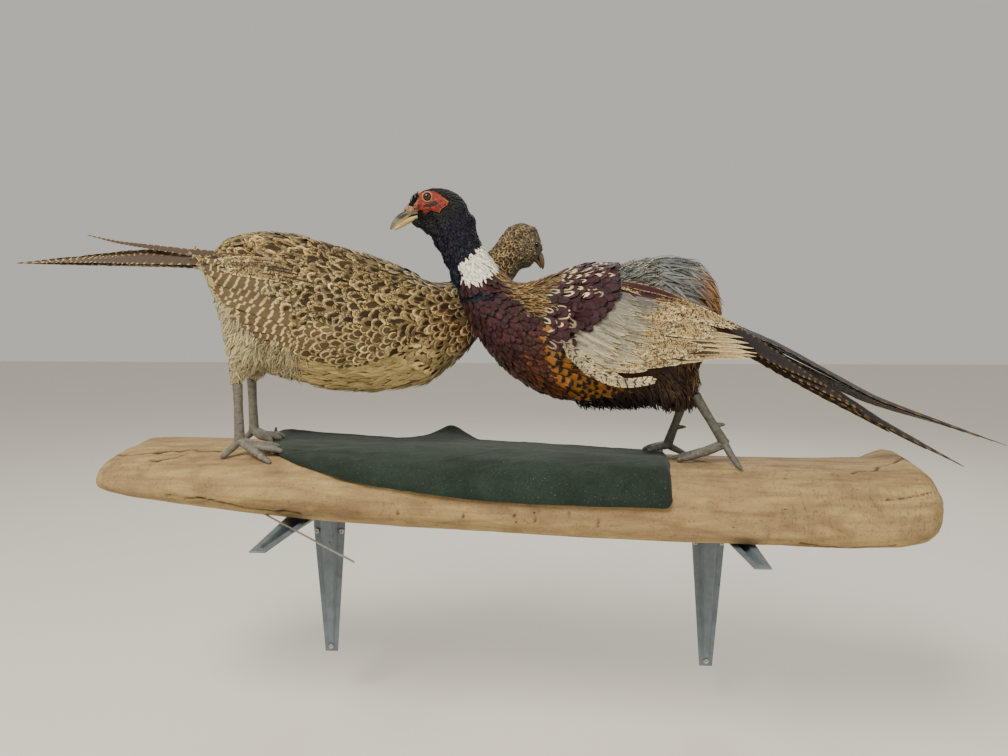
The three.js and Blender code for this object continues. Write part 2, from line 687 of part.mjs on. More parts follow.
function bracketSolid({ x, top }) {
  const rings = [];
  const sizes = [PLATE_HALF, RIB_HALF, RIB_DEPTH];
  const taper = (t) => sizes.map(({ corner, tip }) => corner + (tip - corner) * t);
  const centre = new THREE.Vector3(x, -BRACKET_CORNER, top - BRACKET_CORNER);
  const tabbed = (t, ring) => {
    const [width, rib, depth] = taper(t);
    const flat = t > 0.93 ? STEEL + 0.02 : depth;
    rings.push(bracketSection(width, rib, flat, ring.base, ring.inward));
  };
  const wall = new THREE.Vector3(0, -1, 0);
  const shelf = new THREE.Vector3(0, 0, -1);
  const legSpan = BRACKET_LEG - BRACKET_CORNER;
  const armSpan = BRACKET_ARM - BRACKET_CORNER;
  for (const t of [1, 0.94, 0.9, 0.45, 0]) {
    tabbed(t, { base: new THREE.Vector3(x, 0, top - BRACKET_CORNER - legSpan * t), inward: wall });
  }
  const turns = 5;
  for (let i = 1; i < turns; i += 1) {
    const angle = (Math.PI / 2) * (i / turns);
    const out = new THREE.Vector3(0, Math.cos(angle), Math.sin(angle));
    const reach = BRACKET_CORNER / Math.max(out.y, out.z);
    const [width, rib, depth] = taper(0);
    const base = centre.clone().addScaledVector(out, reach);
    rings.push(bracketSection(width, rib, depth + reach - BRACKET_CORNER, base, out.clone().negate()));
  }
  for (const t of [0, 0.45, 0.9, 0.94, 1]) {
    tabbed(t, { base: new THREE.Vector3(x, -BRACKET_CORNER - armSpan * t, top), inward: shelf });
  }
  const tipHole = new THREE.CylinderGeometry(TIP_HOLE, TIP_HOLE, 12, 12);
  tipHole.rotateX(Math.PI / 2);
  tipHole.translate(x, -BRACKET_ARM + 7, top);
  return toSolid(skinOf(rings)).subtract(toSolid(tipHole));
}

// A round-headed screw whose head sits on a plate, driven along +Y, or along +Z from below.
function screw(name, [x, y, z], fromBelow) {
  const head = new THREE.CylinderGeometry(SCREW_HEAD, SCREW_HEAD * 0.7, SCREW_HEIGHT, 10);
  head.translate(0, -SCREW_HEIGHT / 2, 0);
  if (fromBelow) head.rotateX(Math.PI / 2);
  head.translate(x, y, z);
  add(name, toSolid(head), 'zinc');
}

function buildBrackets() {
  for (const [name, place] of Object.entries(BRACKETS)) {
    const { x, top } = place;
    add(`bracket_${name}`, bracketSolid(place), 'enamel');
    const face = -STEEL - GAP;
    screw(`bracket_${name}_wall_screw_low`, [x, face, top - BRACKET_LEG + 7], false);
    for (const [hand, side] of [['a', -1], ['b', 1]]) {
      const across = x + side * SCREW_OFFSET;
      screw(`bracket_${name}_wall_screw_${hand}`, [across, face, top - BRACKET_CORNER - 6], false);
      screw(`bracket_${name}_shelf_screw_${hand}`, [across, -BRACKET_CORNER - 8, top + face], true);
    }
  }
}

// ---- the stray wire that sticks out from under the slab ----
const WIRE_FROM = [-292, -147, -26];
const WIRE_TO = [-156, -270, -39.5];

function wireSolid(grow) {
  const rows = [WIRE_FROM, WIRE_TO].map((p) => [...p, WIRE_RADIUS, WIRE_RADIUS, WIRE_RADIUS]);
  return loft(rows, { sides: 8, steps: 1, grow });
}

// ---- the whole ----
function seat({ x, top }) {
  const room = new THREE.BoxGeometry(48, 2 * BRACKET_ARM, 80);
  room.translate(x, 0, top + GAP - 40);
  return toSolid(room);
}

const slab = largest(
  slabSolid().subtract(seat(BRACKETS.left)).subtract(seat(BRACKETS.right)).subtract(wireSolid(GAP)),
);
const cloth = clothSolid();
const ground = slab.add(cloth);

buildCock(ground);
buildHen(ground);
add('slab', slab, 'wood');
add('cloth', cloth, 'cloth');
buildBrackets();
add('mount_wire', wireSolid(0), 'zinc');

export default model;
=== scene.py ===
"""Dresses a mounted pair of pheasants and their driftwood shelf over a fixed frame of solids."""
import math
from dataclasses import dataclass

import bmesh
import bpy
import numpy as np
from mathutils import Matrix, Vector, noise
from mathutils.bvhtree import BVHTree


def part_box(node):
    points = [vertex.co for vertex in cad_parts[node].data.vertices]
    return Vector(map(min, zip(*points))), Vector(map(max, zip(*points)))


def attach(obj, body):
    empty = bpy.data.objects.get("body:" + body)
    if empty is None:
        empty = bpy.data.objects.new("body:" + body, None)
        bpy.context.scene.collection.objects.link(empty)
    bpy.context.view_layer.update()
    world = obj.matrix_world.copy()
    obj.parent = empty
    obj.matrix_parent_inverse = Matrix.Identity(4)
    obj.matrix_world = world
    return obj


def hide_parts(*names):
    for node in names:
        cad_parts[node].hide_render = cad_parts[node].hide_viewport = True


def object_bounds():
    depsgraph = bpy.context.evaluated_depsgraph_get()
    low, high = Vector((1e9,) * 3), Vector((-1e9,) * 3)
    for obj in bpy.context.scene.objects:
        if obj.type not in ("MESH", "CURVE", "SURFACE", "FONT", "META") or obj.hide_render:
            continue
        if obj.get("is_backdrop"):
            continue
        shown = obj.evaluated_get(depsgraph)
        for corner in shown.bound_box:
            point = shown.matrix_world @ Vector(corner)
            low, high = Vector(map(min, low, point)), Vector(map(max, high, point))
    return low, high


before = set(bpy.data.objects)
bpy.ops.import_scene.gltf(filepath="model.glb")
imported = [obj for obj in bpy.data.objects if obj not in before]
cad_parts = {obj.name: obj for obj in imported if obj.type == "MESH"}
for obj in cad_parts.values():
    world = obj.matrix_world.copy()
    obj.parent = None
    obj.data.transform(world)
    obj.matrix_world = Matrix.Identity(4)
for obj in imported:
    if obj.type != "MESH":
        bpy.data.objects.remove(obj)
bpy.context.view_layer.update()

bl_info = {
    "name": "Mounted pheasants",
    "version": (1, 0, 0),
    "blender": (4, 5, 0),
    "location": "3D View > Sidebar > Pheasants",
    "description": "Skins, feathers and finishes for a pair of pheasants on a driftwood shelf",
    "category": "Object",
}

MM = 0.001
BODY = "root"
SEED = 11
COCK_Y = -122 * MM  # middle plane of the cock's body
HEN_Y = -106 * MM
CAMERA = (0.035, -0.990, 0.200)
CLOTH_LENGTH, CLOTH_WIDTH = 510, 215  # laid flat, in millimetres
BAKE_PATCH = 0.003  # a feather's patch on the OFBake map
VANE_DIP = 0.16  # how far a vane's edges hang below its ridge, as a share of its half width
DOWN = np.array([0.0, 0.0, -1.0])


# ---- properties ----
def linear(code):
    """Linear colour values of a six-digit web colour."""
    values = [int(code[i:i + 2], 16) / 255 for i in (0, 2, 4)]
    return tuple(v / 12.92 if v <= 0.04045 else ((v + 0.055) / 1.055) ** 2.4 for v in values)


def colour(name, code, description):
    return bpy.props.FloatVectorProperty(
        name=name, description=description, subtype="COLOR", size=3, min=0, max=1, default=linear(code))


def length(name, millimetres, description):
    return bpy.props.FloatProperty(
        name=name, description=description, unit="LENGTH", min=0, default=millimetres * MM)


class CockLook(bpy.types.PropertyGroup):
    """Colours and sizes of the cock."""

    head: colour("Head", "0b110c", "Green-black feathers of the head")
    neck: colour("Neck", "070b1a", "Blue-black feathers of the neck")
    purple: colour("Purple sheen", "140c24", "Purple cast on the neck")
    teal: colour("Teal sheen", "091a28", "Teal cast low on the neck")
    ring: colour("Ring", "f8f2de", "White ring at the base of the neck")
    maroon: colour("Maroon", "35121b", "Front of the breast and the scapulars")
    copper: colour("Copper", "562c10", "Middle of the breast")
    gold: colour("Gold", "925e1e", "Flank")
    ochre: colour("Ochre", "7e5c28", "Mantle and back")
    black: colour("Black", "140c08", "Feather tips and centres")
    cream: colour("Cream", "d6c498", "Pale marks")
    pale: colour("Wing pale", "a89e82", "Coverts low on the wing")
    grey: colour("Wing grey", "6e6c66", "Coverts at the bend of the wing")
    buff: colour("Buff", "b2986a", "Greater coverts and quill edges")
    brown: colour("Brown", "42301c", "Mottling of the wing")
    slate: colour("Slate", "646866", "Hackles of the rump")
    rust: colour("Rust", "945e2a", "Fringe of the rump and base of the tail")
    tail: colour("Tail", "2c1b12", "Long tail feathers")
    down: colour("Down", "2e1c10", "Loose feathers of thigh and vent")
    wattle: colour("Wattle", "922c18", "Bare red skin round the eye")
    lid: colour("Lid", "c08458", "Ring of the eyelid")
    horn: colour("Horn", "7c7c64", "Bill")
    lore: colour("Lore", "ac8870", "Bare skin between eye and bill")
    culmen: colour("Culmen", "2e302c", "Dark top of the bill")
    bill_edge: colour("Bill edge", "d2b878", "Cutting edge and lower mandible")
    leg: colour("Leg", "6a685e", "Scaly skin of legs and toes")
    coat_depth: length("Coat depth", 3.2, "Depth of the feathers over the skin")


class HenLook(bpy.types.PropertyGroup):
    """Colours and sizes of the hen."""

    cream: colour("Cream", "c6b27e", "Pale feather edges")
    buff: colour("Buff", "8c774c", "Ground of back and flank")
    belly: colour("Belly", "b8a26c", "Plain belly")
    dark: colour("Dark", "33230f", "Feather centres")
    chestnut: colour("Chestnut", "6c3c20", "Side of the neck and breast")
    barred: colour("Bars", "5c4a2e", "Bars of the wing")
    vent: colour("Vent", "b4a884", "Loose feathers of thigh and vent")
    face: colour("Face", "5a4e40", "Head and throat")
    tail: colour("Tail", "4a3826", "Long tail feathers")
    horn: colour("Horn", "6e5c46", "Bill")
    leg: colour("Leg", "7c786c", "Scaly skin of legs and toes")
    coat_depth: length("Coat depth", 3.2, "Depth of the feathers over the skin")


class MountLook(bpy.types.PropertyGroup):
    """Colours and sizes of the shelf, the cloth and the brackets."""

    wood: colour("Driftwood", "987e5a", "Weathered face of the slab")
    pale_wood: colour("Bleached wood", "b29868", "Bleached streaks")
    crack: colour("Cracks", "4a3420", "Depth of cracks and checks")
    cloth: colour("Cloth", "2b362d", "Dark green cloth")
    lint: colour("Lint", "8f9a86", "Specks of lint")
    enamel: colour("Enamel", "66727a", "Blue-grey enamel")
    steel: colour("Steel", "b4b2aa", "Bare steel and zinc")
    cloth_thickness: length("Cloth thickness", 2.6, "Thickness of the cloth")


class StageLook(bpy.types.PropertyGroup):
    """Camera, floor and light."""

    floor: colour("Floor", "e9e5da", "Pale floor")
    eye: bpy.props.FloatVectorProperty(
        name="Camera place", description="Place of the camera", subtype="TRANSLATION", unit="LENGTH",
        size=3, default=CAMERA)
    focal: bpy.props.FloatProperty(
        name="Focal length", description="Focal length in millimetres on a 36 mm sensor", min=5, default=27.04)
    drop: length("Floor drop", 70, "Distance from the lowest bracket to the floor")


GROUPS = {"cock_look": CockLook, "hen_look": HenLook, "mount_look": MountLook, "stage_look": StageLook}


def look(name):
    return getattr(bpy.context.scene, name)


def ink(value):
    return np.array(tuple(value), float)


def toned(value, share):
    """A colour made darker or lighter by a share."""
    return tuple(v * share for v in value)


# ---- objects and meshes ----
def rng_for(name):
    return np.random.default_rng([SEED, *name.encode()])


def linked(name, mesh):
    obj = bpy.data.objects.new(name, mesh)
    bpy.context.scene.collection.objects.link(obj)
    return obj


def activate(obj):
    bpy.ops.object.select_all(action="DESELECT")
    obj.select_set(True)
    bpy.context.view_layer.objects.active = obj


def apply_modifiers(obj):
    activate(obj)
    for modifier in list(obj.modifiers):
        bpy.ops.object.modifier_apply(modifier=modifier.name)


def copy_of(name, *nodes):
    """A new object made of copies of solids, their loose corners merged."""
    work = bmesh.new()
    for node in nodes:
        work.from_mesh(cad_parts[node].data)
    bmesh.ops.remove_doubles(work, verts=work.verts, dist=1e-5)
    mesh = bpy.data.meshes.new(name)
    work.to_mesh(mesh)
    work.free()
    return linked(name, mesh)


def add_bulk(obj, lumps):
    """Adds egg-shaped lumps to an object before it is remeshed: middle and radii in millimetres."""
    work = bmesh.new()
    work.from_mesh(obj.data)
    for middle, radii in lumps:
        form = Matrix.Translation(Vector(middle) * MM) @ Matrix.Diagonal((*(Vector(radii) * MM), 1))
        bmesh.ops.create_icosphere(work, subdivisions=4, radius=1, matrix=form)
    work.to_mesh(obj.data)
    work.free()


def cut(work, middle, way, **cleared):
    """Cuts a mesh by a plane through a place in millimetres, clears one side and closes the cut."""
    found = bmesh.ops.bisect_plane(
        work, geom=work.verts[:] + work.edges[:] + work.faces[:], plane_co=Vector(middle) * MM, plane_no=way,
        **cleared)
    bmesh.ops.holes_fill(work, edges=[e for e in found["geom_cut"] if isinstance(e, bmesh.types.BMEdge)])


def remesh(obj, voxel, smoothing):
    """One even skin over the object's solids, its facets smoothed away."""
    modifier = obj.modifiers.new("Skin", "REMESH")
    modifier.mode = "VOXEL"
    modifier.voxel_size = voxel
    if smoothing:
        modifier = obj.modifiers.new("Smooth", "SMOOTH")
        modifier.factor = 0.5
        modifier.iterations = smoothing
    apply_modifiers(obj)
    obj.data.materials.clear()


def thicken(obj, depth):
    """Gives a sheet its depth, inward from its face."""
    modifier = obj.modifiers.new("Depth", "SOLIDIFY")
    modifier.thickness = depth
    modifier.offset = -1
    apply_modifiers(obj)


def bevel(obj, width, degrees):
    """Rounds the edges that are sharper than an angle."""
    modifier = obj.modifiers.new("Edges", "BEVEL")
    modifier.width = width
    modifier.segments = 2
    modifier.limit_method = "ANGLE"
    modifier.angle_limit = math.radians(degrees)
    apply_modifiers(obj)


def points_of(mesh):
    values = np.empty(len(mesh.vertices) * 3, np.float32)
    mesh.vertices.foreach_get("co", values)
    return values.reshape(-1, 3).astype(float)


def normals_of(mesh):
    values = np.empty(len(mesh.vertices) * 3, np.float32)
    mesh.vertex_normals.foreach_get("vector", values)
    return values.reshape(-1, 3).astype(float)


def by_place(points):
    """The order of points by their places, because a remeshed skin's own order isn't fixed."""
    return np.lexsort(np.round(points, 5).T[::-1])


def field(points, scale, seed=0.0):
    """Smooth noise at each point; scale is its fineness along each axis."""
    moved = points * np.asarray(scale) + seed
    return np.array([noise.noise(Vector(p)) for p in moved.tolist()])


def move_points(mesh, points):
    mesh.vertices.foreach_set("co", points.astype(np.float32).ravel())
    mesh.update()


def smooth(mesh, degrees=50):
    mesh.polygons.foreach_set("use_smooth", np.ones(len(mesh.polygons), bool))
    mesh.set_sharp_from_angle(angle=math.radians(degrees))


def quad_mesh(name, points, quads):
    mesh = bpy.data.meshes.new(name)
    mesh.vertices.add(len(points))
    mesh.vertices.foreach_set("co", points.astype(np.float32).ravel())
    mesh.loops.add(quads.size)
    mesh.loops.foreach_set("vertex_index", quads.astype(np.int32).ravel())
    mesh.polygons.add(len(quads))
    mesh.polygons.foreach_set("loop_start", np.arange(0, quads.size, 4, dtype=np.int32))
    mesh.update(calc_edges=True)
    return mesh


def paint(mesh, name, values):
    """Stores a colour for each point of a mesh."""
    data = np.ones((len(values), 4), np.float32)
    data[:, :values.shape[1]] = values
    mesh.attributes.new(name, "FLOAT_COLOR", "POINT").data.foreach_set("color", data.ravel())


def place(obj, slot, material, *nodes):
    """Puts a finished piece on the part: its finish and the solids it stands for. The slot is not used."""
    obj.data.materials.clear()
    obj.data.materials.append(material)
    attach(obj, BODY)
    if nodes:
        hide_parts(*nodes)
    return obj


def unit(vectors):
    return vectors / np.maximum(np.linalg.norm(vectors, axis=-1, keepdims=True), 1e-9)


def inside(outline, x, z):
    """Which points of a side view lie inside an outline given in millimetres."""
    found = np.zeros(len(x), bool)
    corners = [(a * MM, b * MM) for a, b in outline]
    for (x1, z1), (x2, z2) in zip(corners, corners[1:] + corners[:1]):
        if z1 != z2:
            crossing = (z1 > z) != (z2 > z)
            found ^= crossing & (x < x1 + (x2 - x1) * (z - z1) / (z2 - z1))
    return found


class Surface:
    """A mesh that feathers grow on and lie along."""

    def __init__(self, *meshes):
        points = np.round(np.concatenate([points_of(mesh) for mesh in meshes]), 5)
        order = by_place(points)
        rank = np.argsort(order).tolist()
        self.points = points[order]
        triangles, first = [], 0
        for mesh in meshes:
            for face in mesh.polygons:
                corners = [rank[first + v] for v in face.vertices]
                start = corners.index(min(corners))
                corners = corners[start:] + corners[:start]
                triangles += [(corners[0], a, b) for a, b in zip(corners[1:], corners[2:])]
            first += len(mesh.vertices)
        self.triangles = np.array(sorted(triangles))
        a, b, c = self.points[self.triangles].transpose(1, 0, 2)
        total = np.zeros_like(self.points)
        for corner in range(3):
            np.add.at(total, self.triangles[:, corner], np.cross(b - a, c - a))
        self.normals = unit(total)
        self.facing = unit(self.normals[self.triangles].mean(1))
        self.tree = BVHTree.FromPolygons(self.points.tolist(), self.triangles.tolist())

    def nearest(self, points):
        found = [self.tree.find_nearest(p) for p in points.tolist()]
        places = np.array([hit[0] for hit in found])
        return places, self.facing[[hit[2] for hit in found]]

    def outermost(self, points, normals, reach=9 * MM):
        """The surface as met from outside at each point, or the nearest place where it isn't met."""
        places, facing = self.nearest(points)
        for i, (a, b) in enumerate(zip((points + normals * reach).tolist(), (-normals).tolist())):
            hit = self.tree.ray_cast(a, b, 2 * reach)
            if hit[0] is not None:
                places[i], facing[i] = hit[0], self.facing[hit[2]]
        return places, facing

    def covered(self, points, normals, reach=0.03):
        """Which points have another part of the surface close over them."""
        starts = points + normals * 0.8 * MM
        return np.array([self.tree.ray_cast(a, b, reach)[0] is not None
                         for a, b in zip(starts.tolist(), normals.tolist())], bool)

    def from_side(self, x, z, side):
        """The surface as seen along Y from one side: its points and normals at places of a side view."""
        places = np.zeros((len(x), 3))
        normals = np.zeros((len(x), 3))
        for i, (a, b) in enumerate(zip(x.tolist(), z.tolist())):
            hit = self.tree.ray_cast((a, side * 1.0, b), (0, -side, 0))
            if hit[0] is None:
                hit = self.tree.find_nearest((a, side * 0.25, b))
            places[i] = (a, hit[0][1], b)
            normals[i] = self.facing[hit[2]]
        return places, normals

    def scatter(self, spacing, wanted, rng, cover, outermost=False, tries=14):
        """Points spread evenly over the wanted part that lies open to the air, no two nearer than the spacing."""
        corners = self.points[self.triangles]
        area = np.linalg.norm(np.cross(corners[:, 1] - corners[:, 0], corners[:, 2] - corners[:, 0]), axis=1) / 2
        area *= wanted(corners.mean(1))
        if area.sum() == 0:
            return np.zeros((0, 3)), np.zeros((0, 3))
        count = int(tries * area.sum() / spacing ** 2) + 1
        pick = rng.choice(len(area), count, p=area / area.sum())
        a = np.sqrt(rng.random(count))
        b = rng.random(count)
        share = np.stack([1 - a, a * (1 - b), a * b], 1)[..., None]
        points = (corners[pick] * share).sum(1)
        normals = unit((self.normals[self.triangles[pick]] * share).sum(1))
        open_air = ~cover.covered(points, normals)
        points, normals = points[open_air], normals[open_air]
        if outermost:
            off = np.abs(points[:, 1] - self.points[:, 1].mean())
            order = np.argsort((-off / (3 * MM)).astype(int), kind="stable")
            points, normals = points[order], normals[order]
        cells = {}
        kept = []
        for i, p in enumerate((points / spacing).tolist()):
            cx, cy, cz = (math.floor(value) for value in p)
            near = (q for dx in (-1, 0, 1) for dy in (-1, 0, 1) for dz in (-1, 0, 1)
                    for q in cells.get((cx + dx, cy + dy, cz + dz), ()))
            if all((p[0] - q[0]) ** 2 + (p[1] - q[1]) ** 2 + (p[2] - q[2]) ** 2 >= 1 for q in near):
                cells.setdefault((cx, cy, cz), []).append(p)
                kept.append(i)
        return points[kept], normals[kept]


class Spine:
    """The line that a coat flows along, from the bill to the tail, through places in millimetres."""

    def __init__(self, places):
        knots = np.array(places, float) * MM
        steps = np.linspace(0, len(knots) - 1, 120)
        line = np.stack([np.interp(steps, range(len(knots)), knots[:, axis]) for axis in range(3)], 1)
        for _ in range(12):
            line[1:-1] = (line[:-2] + line[2:]) / 2
        self.points = line
        self.tangents = unit(np.gradient(line, axis=0))
        self.along = np.concatenate([[0], np.cumsum(np.linalg.norm(np.diff(line, axis=0), axis=1))])

    def shares(self, points):
        distance = ((points[:, None] - self.points[None]) ** 2).sum(2)
        weight = 1 / (distance + 1e-4) ** 3
        return weight / weight.sum(1, keepdims=True)

    def flow(self, points):
        return unit(self.shares(points) @ self.tangents)

    def unwrap(self, points):
        """Places on the skin unrolled round the line: how far along, and how far round."""
        share = self.shares(points)
        offset = points - share @ self.points
        tangent = unit(share @ self.tangents)
        up = unit(np.cross(np.cross(tangent, -DOWN), tangent))
        side = np.cross(tangent, up)
        turn = np.arctan2((offset * side).sum(1), (offset * up).sum(1)) / (2 * math.pi) + 0.5
        return np.stack([0.02 + 0.96 * (share @ self.along) / self.along[-1], 0.02 + 0.96 * turn], 1)


# ---- feathers ----
SHAPES = {  # how wide a vane is along its length, as shares of both
    "round": ((0, 0.45), (0.3, 0.9), (0.6, 1), (0.83, 0.84), (0.95, 0.48), (1, 0.1)),
    "scale": ((0, 0.4), (0.35, 0.95), (0.7, 1), (0.9, 0.75), (1, 0.15)),
    "lance": ((0, 0.5), (0.3, 1), (0.65, 0.8), (0.9, 0.38), (1, 0.05)),
    "strand": ((0, 0.7), (0.45, 1), (0.8, 0.6), (1, 0.08)),
}


@dataclass
class Tract:
    """A stretch of coat with one kind of feather. Sizes and side-view outline in millimetres."""

    name: str
    outline: tuple
    spacing: float
    length: float
    width: float
    lift: float
    inks: tuple  # colours of a feather's centre, band and rim
    marks: tuple = (2, 2, 0, 0)  # where the band and the rim begin, the shaft streak, the bars
    shape: str = "round"
    later: tuple = ()  # the three colours at the end of the fade
    fade: tuple = ()  # side-view places where the fade begins and ends
    jitter: float = 0.16
    cling: float = 1.0
    droop: float = 0.0
    tone: float = 0.14
    plain: float = 0.0  # share of the feathers that lack marks
    extras: tuple = (0, 0, 0)  # mottling, where a dark tip begins, how wide the bars are
    over: bool = False  # lies over the wings too


class Plumage:
    """Feathers gathered into one mesh, each a thin closed vane with its own marks."""

    def __init__(self):
        self.parts = []

    def add(self, centres, sides, normals, widths, along, colours, marks, extras, bake, rng, thick=0.00018,
            ragged=0.1):
        """Adds vanes by rings of four corners: left edge, ridge, right edge and underside."""
        count, rings = centres.shape[:2]
        torn = 1 + ragged * rng.uniform(-1, 1, (2, count, rings, 1))
        edge = widths[..., None] * sides
        dip = normals * (VANE_DIP * widths[..., None])
        corners = np.stack([
            centres - edge * torn[0] - dip,
            centres + normals * thick,
            centres + edge * torn[1] - dip,
            centres - normals * (thick + VANE_DIP * widths[..., None] * 0.5),
        ], 2)
        across = np.broadcast_to(np.array([0, 0.5, 1, 0.5]), (count, rings, 4))
        vane = np.stack([across, np.broadcast_to(np.asarray(along)[None, :, None], (count, rings, 4))], -1)
        base = np.arange(rings * 4).reshape(rings, 4)
        turned = np.roll(base, -1, axis=1)
        quads = np.stack([base[:-1], turned[:-1], turned[1:], base[1:]], -1).reshape(-1, 4)
        quads = np.concatenate([quads, base[:1, ::-1], base[-1:]])
        every = quads[None] + (np.arange(count) * rings * 4)[:, None, None]
        self.parts.append({
            "points": corners.reshape(-1, 3),
            "quads": every.reshape(-1, 4),
            "vane": vane.reshape(-1, 2),
            "bake": (bake[:, None, None] + (vane - 0.5) * BAKE_PATCH).reshape(-1, 2),
            **{key: np.repeat(value, rings * 4, 0) for key, value in zip(("centre", "band", "rim"), colours)},
            "marks": np.repeat(marks, rings * 4, 0),
            "extras": np.repeat(extras, rings * 4, 0),
        })

    def grow(self, tract, surface, spine, roots, normals, rng):
        """Grows one tract's feathers from their roots along the skin."""
        count = len(roots)
        if not count:
            return
        bake = spine.unwrap(roots)
        look_of = shades(tract, roots, rng)
        facing = normals
        heading = spine.flow(roots) + tract.droop * DOWN
        heading = unit(heading - (heading * facing).sum(1, keepdims=True) * facing)
        sideways = np.cross(heading, facing)
        swing = rng.normal(0, tract.jitter, (count, 1))
        heading = unit(heading * np.cos(swing) + sideways * np.sin(swing))
        size = tract.length * MM * rng.uniform(0.82, 1.15, count)
        lift = tract.lift * MM * rng.uniform(0.6, 1.25, count)
        shape = SHAPES[tract.shape]
        point = roots - normals * 0.0004
        centres, sides, ups = [], [], []
        before = 0
        for t, _ in shape:
            point = point + heading * (size * (t - before))[:, None]
            ground, up = surface.outermost(point, facing) if tract.over else surface.nearest(point)
            if tract.over:
                up = unit(up + facing)
            risen = ground + up * (lift * t ** 0.8 - 0.0003 * (1 - t))[:, None]
            free = point + up * (lift * (t - before) * 1.2)[:, None]
            point = tract.cling * risen + (1 - tract.cling) * free
            facing = unit(facing * (1 - tract.cling) + up * tract.cling)
            heading = heading + DOWN * tract.droop * 0.35 * (1 - tract.cling)
            heading = unit(heading - (heading * facing).sum(1, keepdims=True) * facing * (0.4 + 0.6 * tract.cling))
            centres.append(point)
            ups.append(facing)
            sides.append(unit(np.cross(heading, facing)))
            before = t
        tilt = rng.normal(0, 0.16, (count, 1, 1))
        ups, sides = np.stack(ups, 1), np.stack(sides, 1)
        sides, ups = sides * np.cos(tilt) + ups * np.sin(tilt), ups * np.cos(tilt) - sides * np.sin(tilt)
        breadth = tract.width * MM / 2 * rng.uniform(0.85, 1.12, (count, 1))
        widths = breadth * np.array([w for _, w in shape])[None]
        along = [t for t, _ in shape]
        extras = np.tile(np.array(tract.extras, float), (count, 1))
        extras[:, 0] *= rng.uniform(0.3, 1.5, count)
        self.add(np.stack(centres, 1), sides, ups, widths, along, *look_of, extras, bake, rng)

    def plume(self, path, facing, widths, colours, marks, extras, bake, rng, rings=22, ragged=0.12, tilt=0.0):
        """Adds one long feather along a path of places in metres; facing is the way its flat side looks."""
        path = np.asarray(path, float)
        steps = np.linspace(0, len(path) - 1, rings)
        line = np.stack([np.interp(steps, range(len(path)), path[:, axis]) for axis in range(3)], 1)
        for _ in range(6):
            line[1:-1] = (line[:-2] + 2 * line[1:-1] + line[2:]) / 4
        heading = unit(np.gradient(line, axis=0))
        up = unit(np.broadcast_to(facing, line.shape) - (heading * facing).sum(1, keepdims=True) * heading)
        side = np.cross(heading, up)
        turn = -tilt * np.sign(side[:, 2].mean())
        side, up = side * math.cos(turn) + up * math.sin(turn), up * math.cos(turn) - side * math.sin(turn)
        share = steps / steps[-1]
        width = np.interp(share, np.linspace(0, 1, len(widths)), widths)
        self.add(line[None], side[None], up[None], width[None], share, [c[None] for c in colours],
                 np.array(marks, float)[None], np.array(extras, float)[None], np.asarray(bake)[None], rng, 0.0004,
                 ragged)

    def object(self, name):
        parts = self.parts
        start = np.cumsum([0] + [len(part["points"]) for part in parts[:-1]])
        quads = np.concatenate([part["quads"] + first for part, first in zip(parts, start)])
        whole = {key: np.concatenate([part[key] for part in parts]) for key in parts[0] if key != "quads"}
        mesh = quad_mesh(name, whole["points"], quads)
        for layer, key in (("Vane", "vane"), ("OFBake", "bake")):
            places = whole[key][quads.ravel()].astype(np.float32)
            mesh.uv_layers.new(name=layer).data.foreach_set("uv", places.ravel())
        for key in ("centre", "band", "rim", "marks", "extras"):
            paint(mesh, key, whole[key])
        smooth(mesh, 60)
        return linked(name, mesh)


def fading(tract, points):
    """How far each point lies along its tract's fade, from 0 to 1."""
    if not tract.fade:
        return np.zeros(len(points))
    start, end = (np.array(place) * MM for place in tract.fade)
    way = end - start
    share = ((points[:, [0, 2]] - start) @ way) / (way @ way)
    return np.clip(share, 0, 1)


def shades(tract, points, rng):
    """Colours and marks of a tract's feathers, each a little different."""
    share = fading(tract, points) + rng.normal(0, 0.1, len(points))
    share = np.clip(share, 0, 1)[:, None] if tract.fade else np.zeros((len(points), 1))
    tone = np.exp(rng.normal(0, tract.tone, (len(points), 1)))
    later = tract.later or tract.inks
    colours = [(ink(a) * (1 - share) + ink(b) * share) * tone for a, b in zip(tract.inks, later)]
    marks = np.tile(np.array(tract.marks, float), (len(points), 1))
    marks[:, :2] += rng.normal(0, 0.07, (len(points), 2))
    marks[rng.random(len(points)) < tract.plain, :2] = (0, 0)
    return colours, marks


def tract_at(tracts, points, wander=2.0):
    """Which tract each point belongs to; the later of two that overlap wins, and borders wander."""
    x = points[:, 0] + wander * MM * field(points, 90, 3.7)
    z = points[:, 2] + wander * MM * field(points, 90, 41.3)
    found = np.zeros(len(points), int)
    for i, tract in enumerate(tracts):
        if tract.outline:
            found[inside(tract.outline, x, z)] = i
    return found


def shade_skin(obj, tracts, darken=0.75):
    """Paints the skin with the mean colour of the feathers over it, darkened as painted shade where the skin shows
    between the feathers.
    """
    points = points_of(obj.data)
    found = tract_at(tracts, points)
    shade = np.zeros((len(points), 3))
    for i, tract in enumerate(tracts):
        here = found == i
        share = fading(tract, points[here])[:, None]
        later = tract.later or tract.inks
        start, end = (np.mean([ink(c) for c in inks], 0) for inks in (tract.inks, later))
        shade[here] = start * (1 - share) + end * share
    paint(obj.data, "shade", shade * darken)


